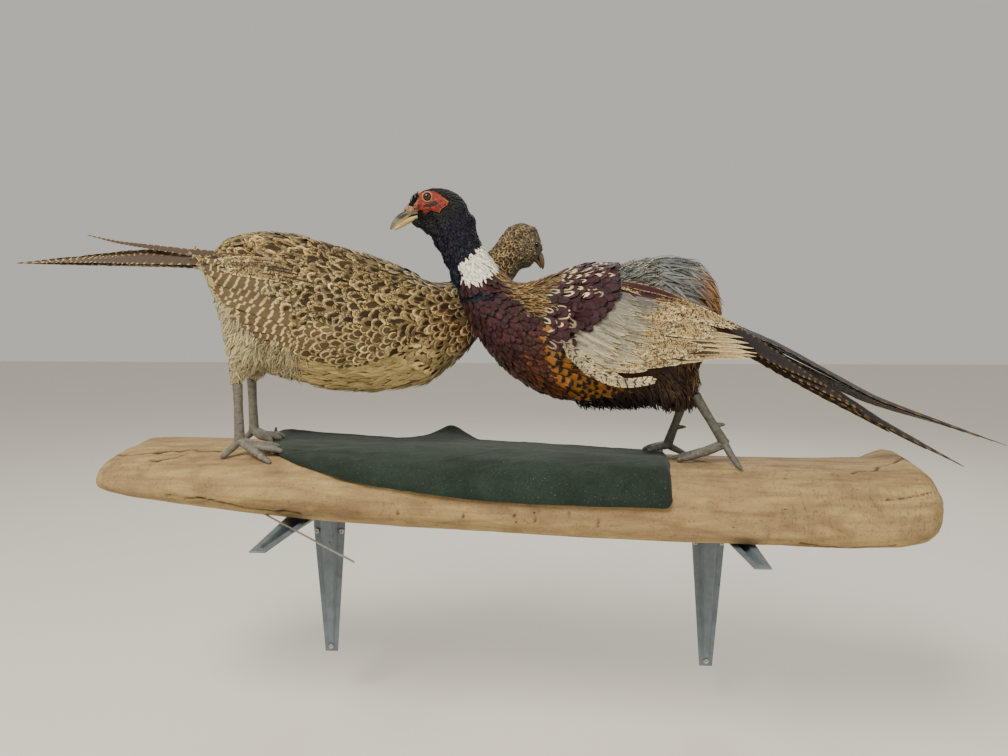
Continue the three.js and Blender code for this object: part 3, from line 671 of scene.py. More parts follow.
# ---- shader groups ----
class Nodes:
    """Short calls for building a node tree."""

    def __init__(self, tree):
        self.tree = tree

    def new(self, kind, **inputs):
        node = self.tree.nodes.new(kind)
        return self.feed(node, **inputs)

    def feed(self, node, **inputs):
        for key, value in inputs.items():
            numbered = key[0] == "i" and key[1:].isdigit()
            socket = node.inputs[int(key[1:]) if numbered else key.replace("_", " ")]
            if isinstance(value, bpy.types.NodeSocket):
                self.tree.links.new(value, socket)
            else:
                socket.default_value = value
        return node

    def math(self, operation, a, b=0.0):
        node = self.new("ShaderNodeMath", i0=a, i1=b)
        node.operation = operation
        return node.outputs[0]

    def plus(self, a, b):
        return self.math("ADD", a, b)

    def minus(self, a, b):
        return self.math("SUBTRACT", a, b)

    def times(self, a, b):
        return self.math("MULTIPLY", a, b)

    def step(self, value, low, high, to_low=0.0, to_high=1.0):
        node = self.new("ShaderNodeMapRange", Value=value, From_Min=low, From_Max=high, To_Min=to_low, To_Max=to_high)
        node.interpolation_type = "SMOOTHSTEP"
        return node.outputs[0]

    def mix(self, share, a, b, blend="MIX"):
        node = self.tree.nodes.new("ShaderNodeMix")
        node.data_type = "RGBA"
        node.blend_type = blend
        for socket, value in zip((node.inputs[0], node.inputs[6], node.inputs[7]), (share, a, b)):
            if isinstance(value, bpy.types.NodeSocket):
                self.tree.links.new(value, socket)
            else:
                socket.default_value = (*value, 1) if hasattr(value, "__len__") and len(value) == 3 else value
        return node.outputs[2]

    def noise(self, vector, scale, detail=3.0, roughness=0.55, distortion=0.0):
        node = self.new("ShaderNodeTexNoise", Vector=vector, Scale=scale, Detail=detail, Roughness=roughness,
                        Distortion=distortion)
        return node.outputs[0]

    def stretched(self, vector, scale, turn=(0, 0, 0)):
        return self.new("ShaderNodeMapping", Vector=vector, Scale=scale, Rotation=turn).outputs[0]

    def place(self):
        return self.tree.nodes.new("ShaderNodeTexCoord").outputs["Object"]

    def attribute(self, name):
        node = self.tree.nodes.new("ShaderNodeAttribute")
        node.attribute_name = name
        return node

    def use(self, group, **inputs):
        node = self.tree.nodes.new("ShaderNodeGroup")
        node.node_tree = group
        return self.feed(node, **inputs).outputs


def shader_group(name, inputs, outputs):
    """A new node group with named sockets: kinds are Color, Float or Vector."""
    tree = bpy.data.node_groups.new(name, "ShaderNodeTree")
    for direction, sockets in (("INPUT", inputs), ("OUTPUT", outputs)):
        for socket, kind in sockets.items():
            tree.interface.new_socket(socket, in_out=direction, socket_type=f"NodeSocket{kind}")
    nodes = Nodes(tree)
    start = tree.nodes.new("NodeGroupInput").outputs
    end = tree.nodes.new("NodeGroupOutput")
    return tree, nodes, start, end


def finish_of(name, **constants):
    """A new material with its shader; constants go to the shader's own sockets."""
    material = bpy.data.materials.new(name)
    material.use_nodes = True
    nodes = Nodes(material.node_tree)
    shader = material.node_tree.nodes["Principled BSDF"]
    nodes.feed(shader, **constants)
    return material, nodes, shader


def once(maker):
    """Keeps what a maker builds, so that each group and material is built one time."""
    made = {}

    def kept(*args):
        if args not in made:
            made[args] = maker(*args)
        return made[args]
    return kept


@once
def vane_group():
    """Marks and barbs of one feather, from its own map and its colours."""
    tree, n, start, end = shader_group(
        "Feather marks",
        {"Vane": "Vector", "Centre": "Color", "Band": "Color", "Rim": "Color", "Marks": "Vector",
         "Bars": "Float", "Extras": "Vector", "Barb Count": "Float", "Wobble": "Float"},
        {"Color": "Color", "Height": "Float", "Shaft": "Float"})
    uv = n.new("ShaderNodeSeparateXYZ", Vector=start["Vane"]).outputs
    marks = n.new("ShaderNodeSeparateXYZ", Vector=start["Marks"]).outputs
    extras = n.new("ShaderNodeSeparateXYZ", Vector=start["Extras"]).outputs
    across = n.math("ABSOLUTE", n.minus(n.times(uv[0], 2.0), 1.0))
    grain = n.noise(n.place(), 420.0, 2.0)
    waver = n.times(n.minus(grain, 0.5), start["Wobble"])
    tip = n.math("MAXIMUM", n.times(n.minus(uv[1], 0.45), 1.8), 0.0)
    radius = n.math("SQRT", n.plus(n.math("POWER", across, 2.0), n.math("POWER", tip, 2.0)))
    radius = n.plus(radius, waver)
    band = n.step(n.minus(radius, marks[0]), -0.07, 0.07)
    rim = n.step(n.minus(radius, marks[1]), -0.06, 0.06)
    shade = n.mix(rim, n.mix(band, start["Centre"], start["Band"]), start["Rim"])
    phase = n.plus(n.times(uv[1], start["Bars"]), n.times(across, -0.25))
    phase = n.plus(phase, n.times(waver, 0.8))
    wave = n.plus(n.math("SINE", n.times(phase, 2 * math.pi)), extras[2])
    barred = n.times(n.step(wave, -0.15, 0.35), n.step(start["Bars"], 0.2, 0.8))
    shade = n.mix(barred, shade, start["Centre"])
    streak = n.step(n.minus(marks[2], n.plus(across, waver)), 0.0, 0.12)
    shade = n.mix(streak, shade, start["Centre"])
    winding = n.math("ABSOLUTE", n.minus(n.noise(n.place(), 240.0, 1.5, 0.5, 1.2), 0.5))
    mottled = n.times(n.step(winding, 0.075, 0.03), extras[0])
    shade = n.mix(mottled, shade, start["Centre"])
    spot = n.times(n.step(n.plus(uv[1], waver), extras[1], n.plus(extras[1], 0.06)),
                  n.step(across, 0.85, 0.6))
    spot = n.times(spot, n.step(extras[1], 0.1, 0.2))
    shade = n.mix(spot, shade, start["Rim"])
    slant = n.minus(n.times(uv[1], start["Barb Count"]), n.times(across, 5.0))
    barbs = n.math("SINE", n.times(slant, 2 * math.pi))
    barbs = n.times(barbs, 0.5)
    value = n.plus(n.plus(n.times(barbs, 0.10), n.times(grain, 0.5)), 0.75)
    shaft = n.step(across, 0.09, 0.03)
    light = n.new("ShaderNodeCombineColor", Red=value, Green=value, Blue=value).outputs[0]
    lit = n.mix(1.0, shade, light, "MULTIPLY")
    height = n.plus(n.plus(barbs, n.times(grain, 0.8)), n.times(shaft, 0.6))
    n.feed(end, Color=lit, Height=height, Shaft=shaft)
    return tree


@once
def feather_finish(name, rough, sheen, specular, barbs, wobble=0.35):
    material, n, shader = finish_of(name, Sheen_Weight=sheen, Sheen_Roughness=0.45, Specular_IOR_Level=specular)
    marks = n.attribute("marks")
    uv = n.tree.nodes.new("ShaderNodeUVMap")
    uv.uv_map = "Vane"
    outputs = n.use(
        vane_group(), Vane=uv.outputs[0], Centre=n.attribute("centre").outputs["Color"],
        Band=n.attribute("band").outputs["Color"], Rim=n.attribute("rim").outputs["Color"],
        Marks=marks.outputs["Vector"], Bars=marks.outputs["Alpha"], Extras=n.attribute("extras").outputs["Vector"],
        Barb_Count=barbs, Wobble=wobble)
    bump = n.new("ShaderNodeBump", Height=outputs["Height"], Strength=0.35, Distance=0.0006)
    n.feed(shader, Base_Color=outputs["Color"], Roughness=rough, Normal=bump.outputs[0])
    return material


@once
def skin_finish(name):
    material, n, shader = finish_of(name, Roughness=0.85, Specular_IOR_Level=0.2)
    grain = n.noise(n.place(), 700.0, 4.0)
    shade = n.mix(0.6, n.attribute("shade").outputs["Color"], (0.5, 0.5, 0.5), "MULTIPLY")
    shade = n.mix(n.step(grain, 0.3, 0.7), shade, n.attribute("shade").outputs["Color"])
    bump = n.new("ShaderNodeBump", Height=grain, Strength=0.5, Distance=0.001)
    n.feed(shader, Base_Color=shade, Normal=bump.outputs[0])
    return material


# ---- the cock's coat ----
COCK_SPINE = Spine((
    (-120, -133, 318), (-93, -131, 325), (-76, -131, 308), (-62, -129, 275), (-40, -125, 234), (-8, -122, 203),
    (50, -122, 186), (120, -122, 190), (180, -122, 206), (240, -122, 205), (262, -122, 196)))


def cock_tracts():
    c = look("cock_look")
    fluff = {"shape": "strand", "jitter": 0.45, "tone": 0.3}
    return (
        Tract("belly", (), 5.2, 17, 7, 4.0, (c.black, c.down, c.black), (0.5, 0.8, 0, 0), droop=0.5, cling=0.8),
        Tract("breast", ((-95, 262), (-20, 245), (15, 226), (32, 180), (50, 150), (78, 120), (66, 90), (-10, 90),
                         (-80, 150)),
              4.6, 13.5, 7.6, 2.6, (c.copper, c.maroon, c.black), (0.1, 0.93, 0.06, 0),
              later=(c.gold, c.copper, c.black), fade=((-10, 192), (58, 132)), tone=0.24),
        Tract("flank", ((20, 200), (45, 196), (60, 168), (84, 142), (118, 128), (150, 126), (140, 112), (60, 108),
                        (38, 128), (22, 160)),
              6.6, 19, 10.5, 3.2, (c.gold, c.gold, c.black), (0.5, 0.98, 0, 0), later=(c.copper, c.gold, c.black),
              fade=((80, 140), (140, 110)), extras=(0.2, 0.7, 0), tone=0.18),
        Tract("mantle", ((-34, 262), (-20, 285), (45, 280), (40, 240), (30, 200), (8, 205), (-14, 226)),
              4.4, 17, 5.6, 2.6, (c.black, c.ochre, c.buff), (0.4, 0.95, 0.24, 0), shape="lance", tone=0.34,
              extras=(0.5, 0, 0)),
        Tract("scapular", ((18, 200), (26, 222), (38, 240), (44, 290), (95, 290), (96, 236), (91, 226), (83, 216),
                           (72, 204), (63, 194), (54, 184), (44, 177), (38, 168), (26, 182)),
              7.0, 20, 11, 4.6, (c.black, c.cream, c.maroon), (0.3, 0.56, 0.1, 0),
              later=(c.maroon, c.maroon, c.maroon), fade=((46, 204), (58, 191)), jitter=0.18, tone=0.24,
              plain=0.22, over=True),
        Tract("scapular_edge", ((38, 168), (47, 174), (57, 181), (67, 191), (76, 202), (87, 215), (95, 226), (98, 238),
                                (98, 266), (90, 266), (89, 240), (81, 226), (70, 212), (60, 200), (50, 190), (40, 180)),
              4.8, 18, 10, 6.0, (c.maroon, c.maroon, c.black), (0.4, 0.97, 0, 0), jitter=0.12, tone=0.2, over=True),
        Tract("back", ((95, 225), (95, 290), (160, 290), (160, 225)), 4.6, 17, 5.4, 3.2,
              (c.black, c.slate, c.pale), (0.3, 0.9, 0, 0), tone=0.26, jitter=0.35, shape="lance",
              extras=(0.9, 0, 0)),
        Tract("rump", ((138, 290), (250, 290), (250, 180), (190, 180), (150, 206)), 3.3, 38, 3.2, 5.2,
              (c.slate, c.slate, c.slate), (0.4, 0.9, 0.12, 0), shape="strand", later=(c.rust, c.ochre, c.rust),
              fade=((166, 244), (202, 238)), jitter=0.3, droop=0.7, tone=0.3, cling=0.92),
        Tract("tail_base", ((212, 290), (250, 290), (250, 180), (200, 180), (198, 222), (206, 240)), 3.4, 30, 2.8,
              2.4, (c.rust, c.ochre, c.rust), (0.4, 0.9, 0.1, 0), shape="strand", jitter=0.2, droop=1.3, tone=0.3),
        Tract("thigh", ((112, 138), (150, 146), (240, 196), (240, 90), (120, 80)), 3.2, 24, 2.6, 4.0,
              (c.down, c.down, c.down), (0.5, 0.9, 0, 0), later=(c.ochre, c.down, c.black),
              fade=((130, 150), (215, 130)), droop=1.4, cling=0.6, **fluff),
        Tract("fringe", ((56, 108), (104, 120), (150, 124), (196, 122), (205, 80), (60, 80)), 3.2, 27, 2.4, 4.0,
              (c.black, c.down, c.black), later=(c.down, c.black, c.black), fade=((110, 100), (190, 100)),
              droop=2.4, cling=0.25, **fluff),
        Tract("neck", ((-140, 360), (-40, 360), (0, 300), (-18, 274), (-62, 262), (-64, 234), (-30, 232), (-24, 224),
                       (-110, 224)),
              2.5, 8, 3.6, 1.4, (c.neck, c.purple, c.black), (0.5, 0.93, 0, 0), shape="scale",
              later=(c.teal, c.neck, c.neck), fade=((-75, 300), (-48, 262)), tone=0.3),
        Tract("ring", ((-66, 262), (-59, 270), (-49, 281), (-36, 286), (-28, 272), (-27, 262), (-29, 254), (-35, 246),
                       (-43, 241), (-52, 240), (-64, 246)),
              2.5, 9, 2.8, 2.4, (c.ring, c.ring, c.ring), shape="lance", tone=0.03, jitter=0.45, cling=0.94),
        Tract("head", ((-140, 360), (-40, 360), (-44, 322), (-70, 318), (-96, 300), (-140, 290)),
              2.0, 5.5, 2.6, 0.9, (c.head, c.head, c.black), (0.5, 0.93, 0, 0), shape="scale",
              later=(c.neck, c.purple, c.black), fade=((-84, 322), (-70, 300)), tone=0.3),
        Tract("tuft", ((-140, 325), (-114, 328), (-112, 350), (-140, 350)), 1.4, 5.5, 1.5, 3.4,
              (c.head, c.head, c.black), (0.5, 0.93, 0, 0), shape="strand", tone=0.3, jitter=0.4, cling=0.6),
    )


# side views of the cock's bare skin, in millimetres: round the eye, and between eye and bill
FACE = ((-111, 325), (-107, 320), (-102, 318), (-94, 319), (-86, 322), (-81, 327), (-84, 335), (-92, 340),
        (-102, 341), (-110, 338))
LORE = ((-112, 330), (-107, 318), (-110, 314.5), (-118, 313), (-140, 310), (-140, 330))


def grow_coat(bird, tracts, skin, whole, spine, bare):
    """Grows every tract's feathers, each tract as one piece: on the skin, or on skin and wings together."""
    pieces = {}
    for i, tract in enumerate(tracts):
        rng = rng_for(bird + tract.name)

        def wanted(points, i=i):
            return (tract_at(tracts, points) == i) & ~bare(points)
        surface = whole if tract.over else skin
        roots, normals = surface.scatter(tract.spacing * MM, wanted, rng, whole, tract.over)
        plumage = Plumage()
        plumage.grow(tract, surface, spine, roots, normals, rng)
        if plumage.parts:
            pieces[tract.name] = plumage.object(f"{bird}_{tract.name}_feathers")
    return pieces


# ---- the hen's coat ----
HEN_SPINE = Spine((
    (24, -46, 270), (14, -44, 292), (-6, -44, 292), (-26, -47, 266), (-44, -52, 244), (-66, -62, 220), (-90, -76, 204),
    (-122, -90, 194), (-180, -100, 196), (-240, -106, 208), (-305, -106, 230), (-350, -108, 250), (-390, -110, 262)))
HEN_UNDER_WING = ((-343, 264), (-341, 248), (-328, 226), (-302, 205), (-275, 188), (-242, 174), (-238, 184),
                  (-250, 206), (-268, 234), (-298, 256))


def hen_tracts():
    h = look("hen_look")
    scale = (h.dark, h.buff, h.belly)
    fluff = {"shape": "strand", "tone": 0.16}
    return (
        Tract("flank", (), 7, 20, 9, 2.8, (h.dark, h.belly, h.belly), (0.1, 0.95, 0.05, 0), tone=0.12,
              extras=(0.3, 0, 0), plain=0.4),
        Tract("belly", ((-360, 200), (-330, 178), (-250, 152), (-150, 150), (-100, 150), (-60, 130), (-110, 100),
                        (-360, 100)),
              5.6, 22, 7, 3.0, (h.dark, h.belly, h.belly), (0.1, 0.95, 0.03, 0), tone=0.1, plain=0.88,
              jitter=0.2, shape="lance"),
        Tract("breast", ((-150, 172), (-120, 190), (-60, 210), (-30, 190), (-40, 120), (-90, 134)),
              6.5, 17, 10, 2.8, (h.dark, h.chestnut, h.cream), (0.34, 0.86, 0, 0),
              later=(h.dark, h.belly, h.belly), fade=((-65, 196), (-104, 160)), extras=(0.4, 0, 0), tone=0.25),
        Tract("shoulder", ((-50, 196), (-36, 250), (-120, 262), (-150, 240), (-135, 175), (-90, 180)), 6.5, 18, 11,
              2.8, (h.dark, h.chestnut, h.cream), (0.5, 0.88, 0, 0), later=scale, fade=((-60, 220), (-110, 230)),
              tone=0.25, extras=(0.5, 0, 0), jitter=0.22),
        Tract("back", ((-110, 262), (-200, 320), (-385, 320), (-385, 262), (-350, 250), (-200, 232), (-130, 205)),
              6.6, 21, 11, 3.2, scale, (0.52, 0.92, 0.14, 0), jitter=0.3, tone=0.32, extras=(1.0, 0, 0)),
        Tract("coverts", ((-112, 180), (-135, 205), (-130, 240), (-200, 250), (-262, 256), (-276, 236), (-256, 206),
                          (-240, 180), (-180, 176), (-130, 168)),
              6.7, 18, 12, 3.6, (h.dark, h.buff, h.cream), (0.56, 0.88, 0, 0), jitter=0.3, tone=0.28,
              extras=(1.0, 0, 0), later=scale, fade=((-200, 200), (-170, 240))),
        Tract("lobe", ((-242, 163), (-220, 150), (-198, 146), (-170, 149), (-150, 156), (-124, 176), (-136, 184),
                       (-166, 192), (-198, 194), (-228, 194), (-240, 182)),
              6.4, 12, 9.5, 4.6, (h.barred, h.cream, h.cream), (0.74, 0.84, 0, 0), jitter=0.16, tone=0.2,
              extras=(0.7, 0, 0)),
        Tract("vent", ((-400, 290), (-346, 262), (-338, 224), (-352, 190), (-400, 190)), 4.4, 22, 5, 3.2,
              (h.vent, h.vent, h.vent), (0.5, 0.9, 0, 0), jitter=0.4, cling=0.85, droop=1.0, **fluff),
        Tract("thigh", ((-372, 226), (-330, 228), (-302, 206), (-275, 188), (-243, 174), (-246, 146), (-262, 132),
                        (-290, 100), (-370, 100)),
              3.0, 24, 2.6, 4.0, (h.vent, h.vent, h.cream), (0.5, 0.9, 0, 0), later=(h.barred, h.vent, h.vent),
              fade=((-322, 150), (-276, 150)), jitter=0.45, cling=0.6, droop=1.4,
              **fluff),
        Tract("neck", ((-20, 240), (-50, 262), (-90, 258), (-64, 205), (-40, 180), (0, 200)), 4.8, 12, 7.4, 2.0,
              (h.dark, h.buff, h.cream), (0.5, 0.88, 0, 0), tone=0.24, extras=(0.7, 0, 0), jitter=0.25),
        Tract("nape", ((-14, 238), (-50, 262), (-20, 330), (40, 330), (40, 240)), 3.2, 8, 5.4, 1.2,
              (h.dark, h.dark, h.belly), (0.5, 0.84, 0, 0), shape="scale", tone=0.36, extras=(0.3, 0, 0),
              later=(h.dark, h.face, h.buff), fade=((-30, 262), (16, 300))),
        Tract("face", ((6, 300), (-2, 280), (-12, 250), (10, 235), (40, 250), (40, 300), (24, 304)), 2.0, 5, 2.2, 0.8,
              (h.dark, h.face, h.vent), (0.3, 0.94, 0, 0), shape="scale", tone=0.36, extras=(0.5, 0, 0)),
    )


# ---- operators of the two bodies ----
class ScriptedOperator(bpy.types.Operator):
    """Shared base of the operators that build one piece or one group of like pieces."""

    bl_options = {"REGISTER", "UNDO"}


class PHEASANT_OT_stage(ScriptedOperator):
    """Adds the pale floor, the soft lights and the camera"""

    bl_idname = "pheasant.stage"
    bl_label = "Stage"

    def execute(self, context):
        s = look("stage_look")
        bpy.ops.mesh.primitive_plane_add(size=16, location=(0, 0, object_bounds()[0].z - s.drop))
        floor = context.object
        floor.name = "floor"
        floor.data.transform(floor.matrix_world)
        floor.matrix_world = Matrix.Identity(4)
        material, n, shader = finish_of("Floor paint", Roughness=0.9, Specular_IOR_Level=0.1)
        grain = n.noise(n.place(), 3.0)
        n.feed(shader, Base_Color=n.mix(grain, s.floor, toned(s.floor, 0.96)))
        floor.data.materials.append(material)
        floor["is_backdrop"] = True
        world = bpy.data.worlds.new("Studio")
        world.use_nodes = True
        world.node_tree.nodes["Background"].inputs[0].default_value = (1.0, 0.96, 0.88, 1)
        world.node_tree.nodes["Background"].inputs[1].default_value = 0.55
        context.scene.world = world
        for name, place, size, power, tint in (
                ("key", (-0.9, -1.7, 1.9), 1.0, 72, (1.0, 0.95, 0.86)),
                ("fill", (1.9, -1.5, 0.7), 1.6, 14, (1.0, 0.97, 0.92)),
                ("rim", (0.4, 1.6, 1.6), 1.4, 20, (0.95, 0.97, 1.0))):
            lamp = bpy.data.lights.new(name, "AREA")
            lamp.energy, lamp.size, lamp.color = power, size, tint
            light = linked(name, lamp)
            light.location = place
            light.rotation_euler = (Vector((0, -0.1, 0.15)) - light.location).to_track_quat("-Z", "Y").to_euler()
        camera = linked("camera", bpy.data.cameras.new("camera"))
        camera.location = s.eye
        camera.rotation_euler = (math.radians(85.5), 0, math.radians(3.4))
        camera.data.lens = s.focal
        camera.data.sensor_width = 36
        context.scene.camera = camera
        return {"FINISHED"}


# lumps that fill out the solids: middle and radii in millimetres
COCK_LUMPS = (
    ((-64, -129, 307), (17.5, 15, 14)),  # nape
    ((-106, -131, 309), (16, 8.5, 9)),  # chin
    ((-95, -131, 304), (15, 11, 12)), ((-85, -131, 290), (12, 12, 16)),  # throat
    ((-76, -130, 272), (11, 13, 17)), ((-69, -130, 251), (10, 13, 16)),  # front of the neck
    ((192, -138, 134), (11, 12, 21)), ((195, -102, 119), (11, 11, 14)),  # hocks
)
HEN_LUMPS = (
    ((0, -46, 290.5), (25.5, 19, 27)),  # crown
    ((6, -46, 276), (17, 14, 15)),  # cheeks
    ((-294, -106, 283), (58, 40, 19)),  # rump
)


class PHEASANT_OT_cock_skin(ScriptedOperator):
    """Grows one skin over the cock's head, neck, trunk and thighs"""

    bl_idname = "pheasant.cock_skin"
    bl_label = "Cock's skin"

    def execute(self, context):
        nodes = ("cock_head", "cock_neck", "cock_trunk", "cock_thigh_left", "cock_thigh_right")
        skin = copy_of("cock_skin", *nodes)
        add_bulk(skin, COCK_LUMPS)
        remesh(skin, 2.2 * MM, 10)
        points = points_of(skin.data)
        depth = np.interp(points[:, 0] - points[:, 2], (-0.40, -0.33, -0.16),
                          (1.0 * MM, 2.0 * MM, look("cock_look").coat_depth))
        points = points - normals_of(skin.data) * depth[:, None]
        x, z = points[:, 0] / MM, points[:, 2] / MM
        gape = np.clip((-107 - x) / 6, 0, 1) * np.clip((326 - z) / 4, 0, 1) * np.clip((z - 306) / 4, 0, 1)
        points[:, 1] += (-131 * MM - points[:, 1]) * 0.5 * gape
        rear = np.interp(z, (196, 212, 224, 240, 252, 264), (232, 224, 217, 212, 204, 196)) * MM
        points[:, 0] = np.where(z > 196, np.minimum(points[:, 0], rear), points[:, 0])
        move_points(skin.data, points)
        shade_skin(skin, cock_tracts())
        smooth(skin.data, 180)
        place(skin, "cock_body_feathers", skin_finish("Cock skin"), *nodes)
        return {"FINISHED"}


class PHEASANT_OT_cock_coat(ScriptedOperator):
    """Grows the cock's feathers from its skin"""

    bl_idname = "pheasant.cock_coat"
    bl_label = "Cock's coat"

    def execute(self, context):
        meshes = [bpy.data.objects[name].data
                  for name in ("cock_skin", "cock_wing_left_base", "cock_wing_right_base")]

        def bare(points):
            return inside(FACE, points[:, 0], points[:, 2]) | inside(LORE, points[:, 0], points[:, 2])
        pieces = grow_coat("cock", cock_tracts(), Surface(meshes[0]), Surface(*meshes), COCK_SPINE, bare)
        finishes = {
            "head": ("cock_head_feathers", "Head plumage", 0.5, 0.0, 0.3, 12.0),
            "tuft": ("cock_head_feathers", "Head plumage", 0.5, 0.0, 0.3, 12.0),
            "neck": ("cock_neck_feathers", "Neck plumage", 0.46, 0.0, 0.22, 12.0),
            "ring": ("cock_neck_feathers", "Ring plumage", 0.8, 0.3, 0.2, 18.0),
        }
        for name, piece in pieces.items():
            slot, title, *values = finishes.get(name, ("cock_body_feathers", "Body plumage", 0.5, 0.02, 0.3, 20.0))
            place(piece, slot, feather_finish(title, *values))
        return {"FINISHED"}


class PHEASANT_OT_hen_skin(ScriptedOperator):
    """Grows one skin over the hen's body, without her tail and legs"""

    bl_idname = "pheasant.hen_skin"
    bl_label = "Hen's skin"

    def execute(self, context):
        skin = copy_of("hen_skin", "hen")
        add_bulk(skin, HEN_LUMPS)
        remesh(skin, 2.4 * MM, 10)
        work = bmesh.new()
        work.from_mesh(skin.data)
        cut(work, (-384, 0, 0), (1, 0, 0), clear_inner=True)
        cut(work, (-345, 0, 122), (0.09, 0, 1), clear_inner=True)
        bmesh.ops.triangulate(work, faces=[f for f in work.faces if len(f.verts) > 4])
        work.to_mesh(skin.data)
        work.free()
        points = points_of(skin.data)
        depth = np.interp(points[:, 0], (-0.09, -0.03, 0.0), (look("hen_look").coat_depth, 2.0 * MM, 1.0 * MM))
        points = points - normals_of(skin.data) * depth[:, None]
        rear = np.interp(points[:, 2] / MM, (135, 171, 207, 220, 258, 266), (-339, -346, -353, -358, -374, -400)) * MM
        rear = CAMERA[0] + (rear - CAMERA[0]) * (points[:, 1] - CAMERA[1]) / (HEN_Y - CAMERA[1])
        points[:, 0] = np.maximum(points[:, 0], rear)
        top = np.interp(points[:, 0] / MM, (-300, -272, -245, -212, -179, -160), (304, 302, 290, 281, 273, 400)) * MM
        points[:, 2] = np.minimum(points[:, 2], top)
        forward = np.array([0.8, 0, -0.6])
        past_face = (points - Vector((23, 0, 280)) * MM) @ forward
        past_face[points[:, 0] < 4 * MM] = 0
        points -= np.clip(past_face, 0, None)[:, None] * forward
        move_points(skin.data, points)
        shade_skin(skin, hen_tracts())
        smooth(skin.data, 180)
        place(skin, "hen_feathers", skin_finish("Hen skin"), "hen")
        return {"FINISHED"}


class PHEASANT_OT_hen_coat(ScriptedOperator):
    """Grows the hen's feathers from her skin"""

    bl_idname = "pheasant.hen_coat"
    bl_label = "Hen's coat"

    def execute(self, context):
        skin = Surface(bpy.data.objects["hen_skin"].data)

        def bare(points):
            return (inside(HEN_UNDER_WING, points[:, 0], points[:, 2]) & (abs(points[:, 1] - HEN_Y) > 0.03)
                    | (points[:, 0] < -0.374))
        for piece in grow_coat("hen", hen_tracts(), skin, skin, HEN_SPINE, bare).values():
            place(piece, "hen_feathers", feather_finish("Hen plumage", 0.62, 0.06, 0.25, 16.0))
        return {"FINISHED"}


# ---- wings ----
@dataclass
class Row:
    """A row of wing feathers from side-view roots to side-view tips, in millimetres."""

    name: str
    count: int
    roots: tuple
    tips: tuple
    width: float
    lift: tuple  # height over the wing's face at the root and at the tip
    inks: tuple
    marks: tuple
    shape: str = "round"
    bow: float = 0.0
    tone: float = 0.1
    later: tuple = ()  # colours of the row's last feather
    extras: tuple = (0, 0, 0)
    stray: float = 0.8  # how far the tips wander from their line


def along(places, share):
    """A place on a broken line, by its share of the line's knots."""
    places = np.array(places, float)
    steps = np.linspace(0, 1, len(places))
    return np.array([np.interp(share, steps, places[:, axis]) for axis in (0, 1)])


def grow_row(plumage, row, bed, side, spine, rng, rings=16):
    """Adds a row of feathers over one side of a bird."""
    for i in range(row.count):
        share = i / max(row.count - 1, 1)
        root = along(row.roots, share)
        tip = along(row.tips, share) + rng.normal(0, row.stray, 2)
        t = np.linspace(0, 1, rings)
        way = tip - root
        across = np.array([-way[1], way[0]])
        line = root + np.outer(t, way) + np.outer(np.sin(np.pi * t), across) * row.bow
        places, normals = bed.from_side(line[:, 0] * MM, line[:, 1] * MM, side)
        outward = np.array([0.0, side, 0.0])
        for _ in range(4):
            places[1:-1, 1] = (places[:-2, 1] + 2 * places[1:-1, 1] + places[2:, 1]) / 4
            normals[1:-1] = (normals[:-2] + 2 * normals[1:-1] + normals[2:]) / 4
        lift = np.interp(t, (0, 1), row.lift) * MM
        places += outward * lift[:, None]
        facing = unit(unit(normals) + 1.2 * outward)
        shape = SHAPES[row.shape]
        breadth = row.width / 2 * MM * rng.uniform(0.94, 1.05)
        widths = [breadth * np.interp(s, [a for a, _ in shape], [b for _, b in shape]) for s in np.linspace(0, 1, 24)]
        tone = math.exp(rng.normal(0, row.tone))
        later = row.later or row.inks
        colours = [(ink(a) * (1 - share) + ink(b) * share) * tone for a, b in zip(row.inks, later)]
        bake = spine.unwrap(places[:1])[0]
        marks = np.array(row.marks, float) * (1, 1, 1, rng.uniform(0.9, 1.12))
        plumage.plume(places, facing, widths, colours, marks, row.extras, bake, rng, rings, 0.05, tilt=0.16)


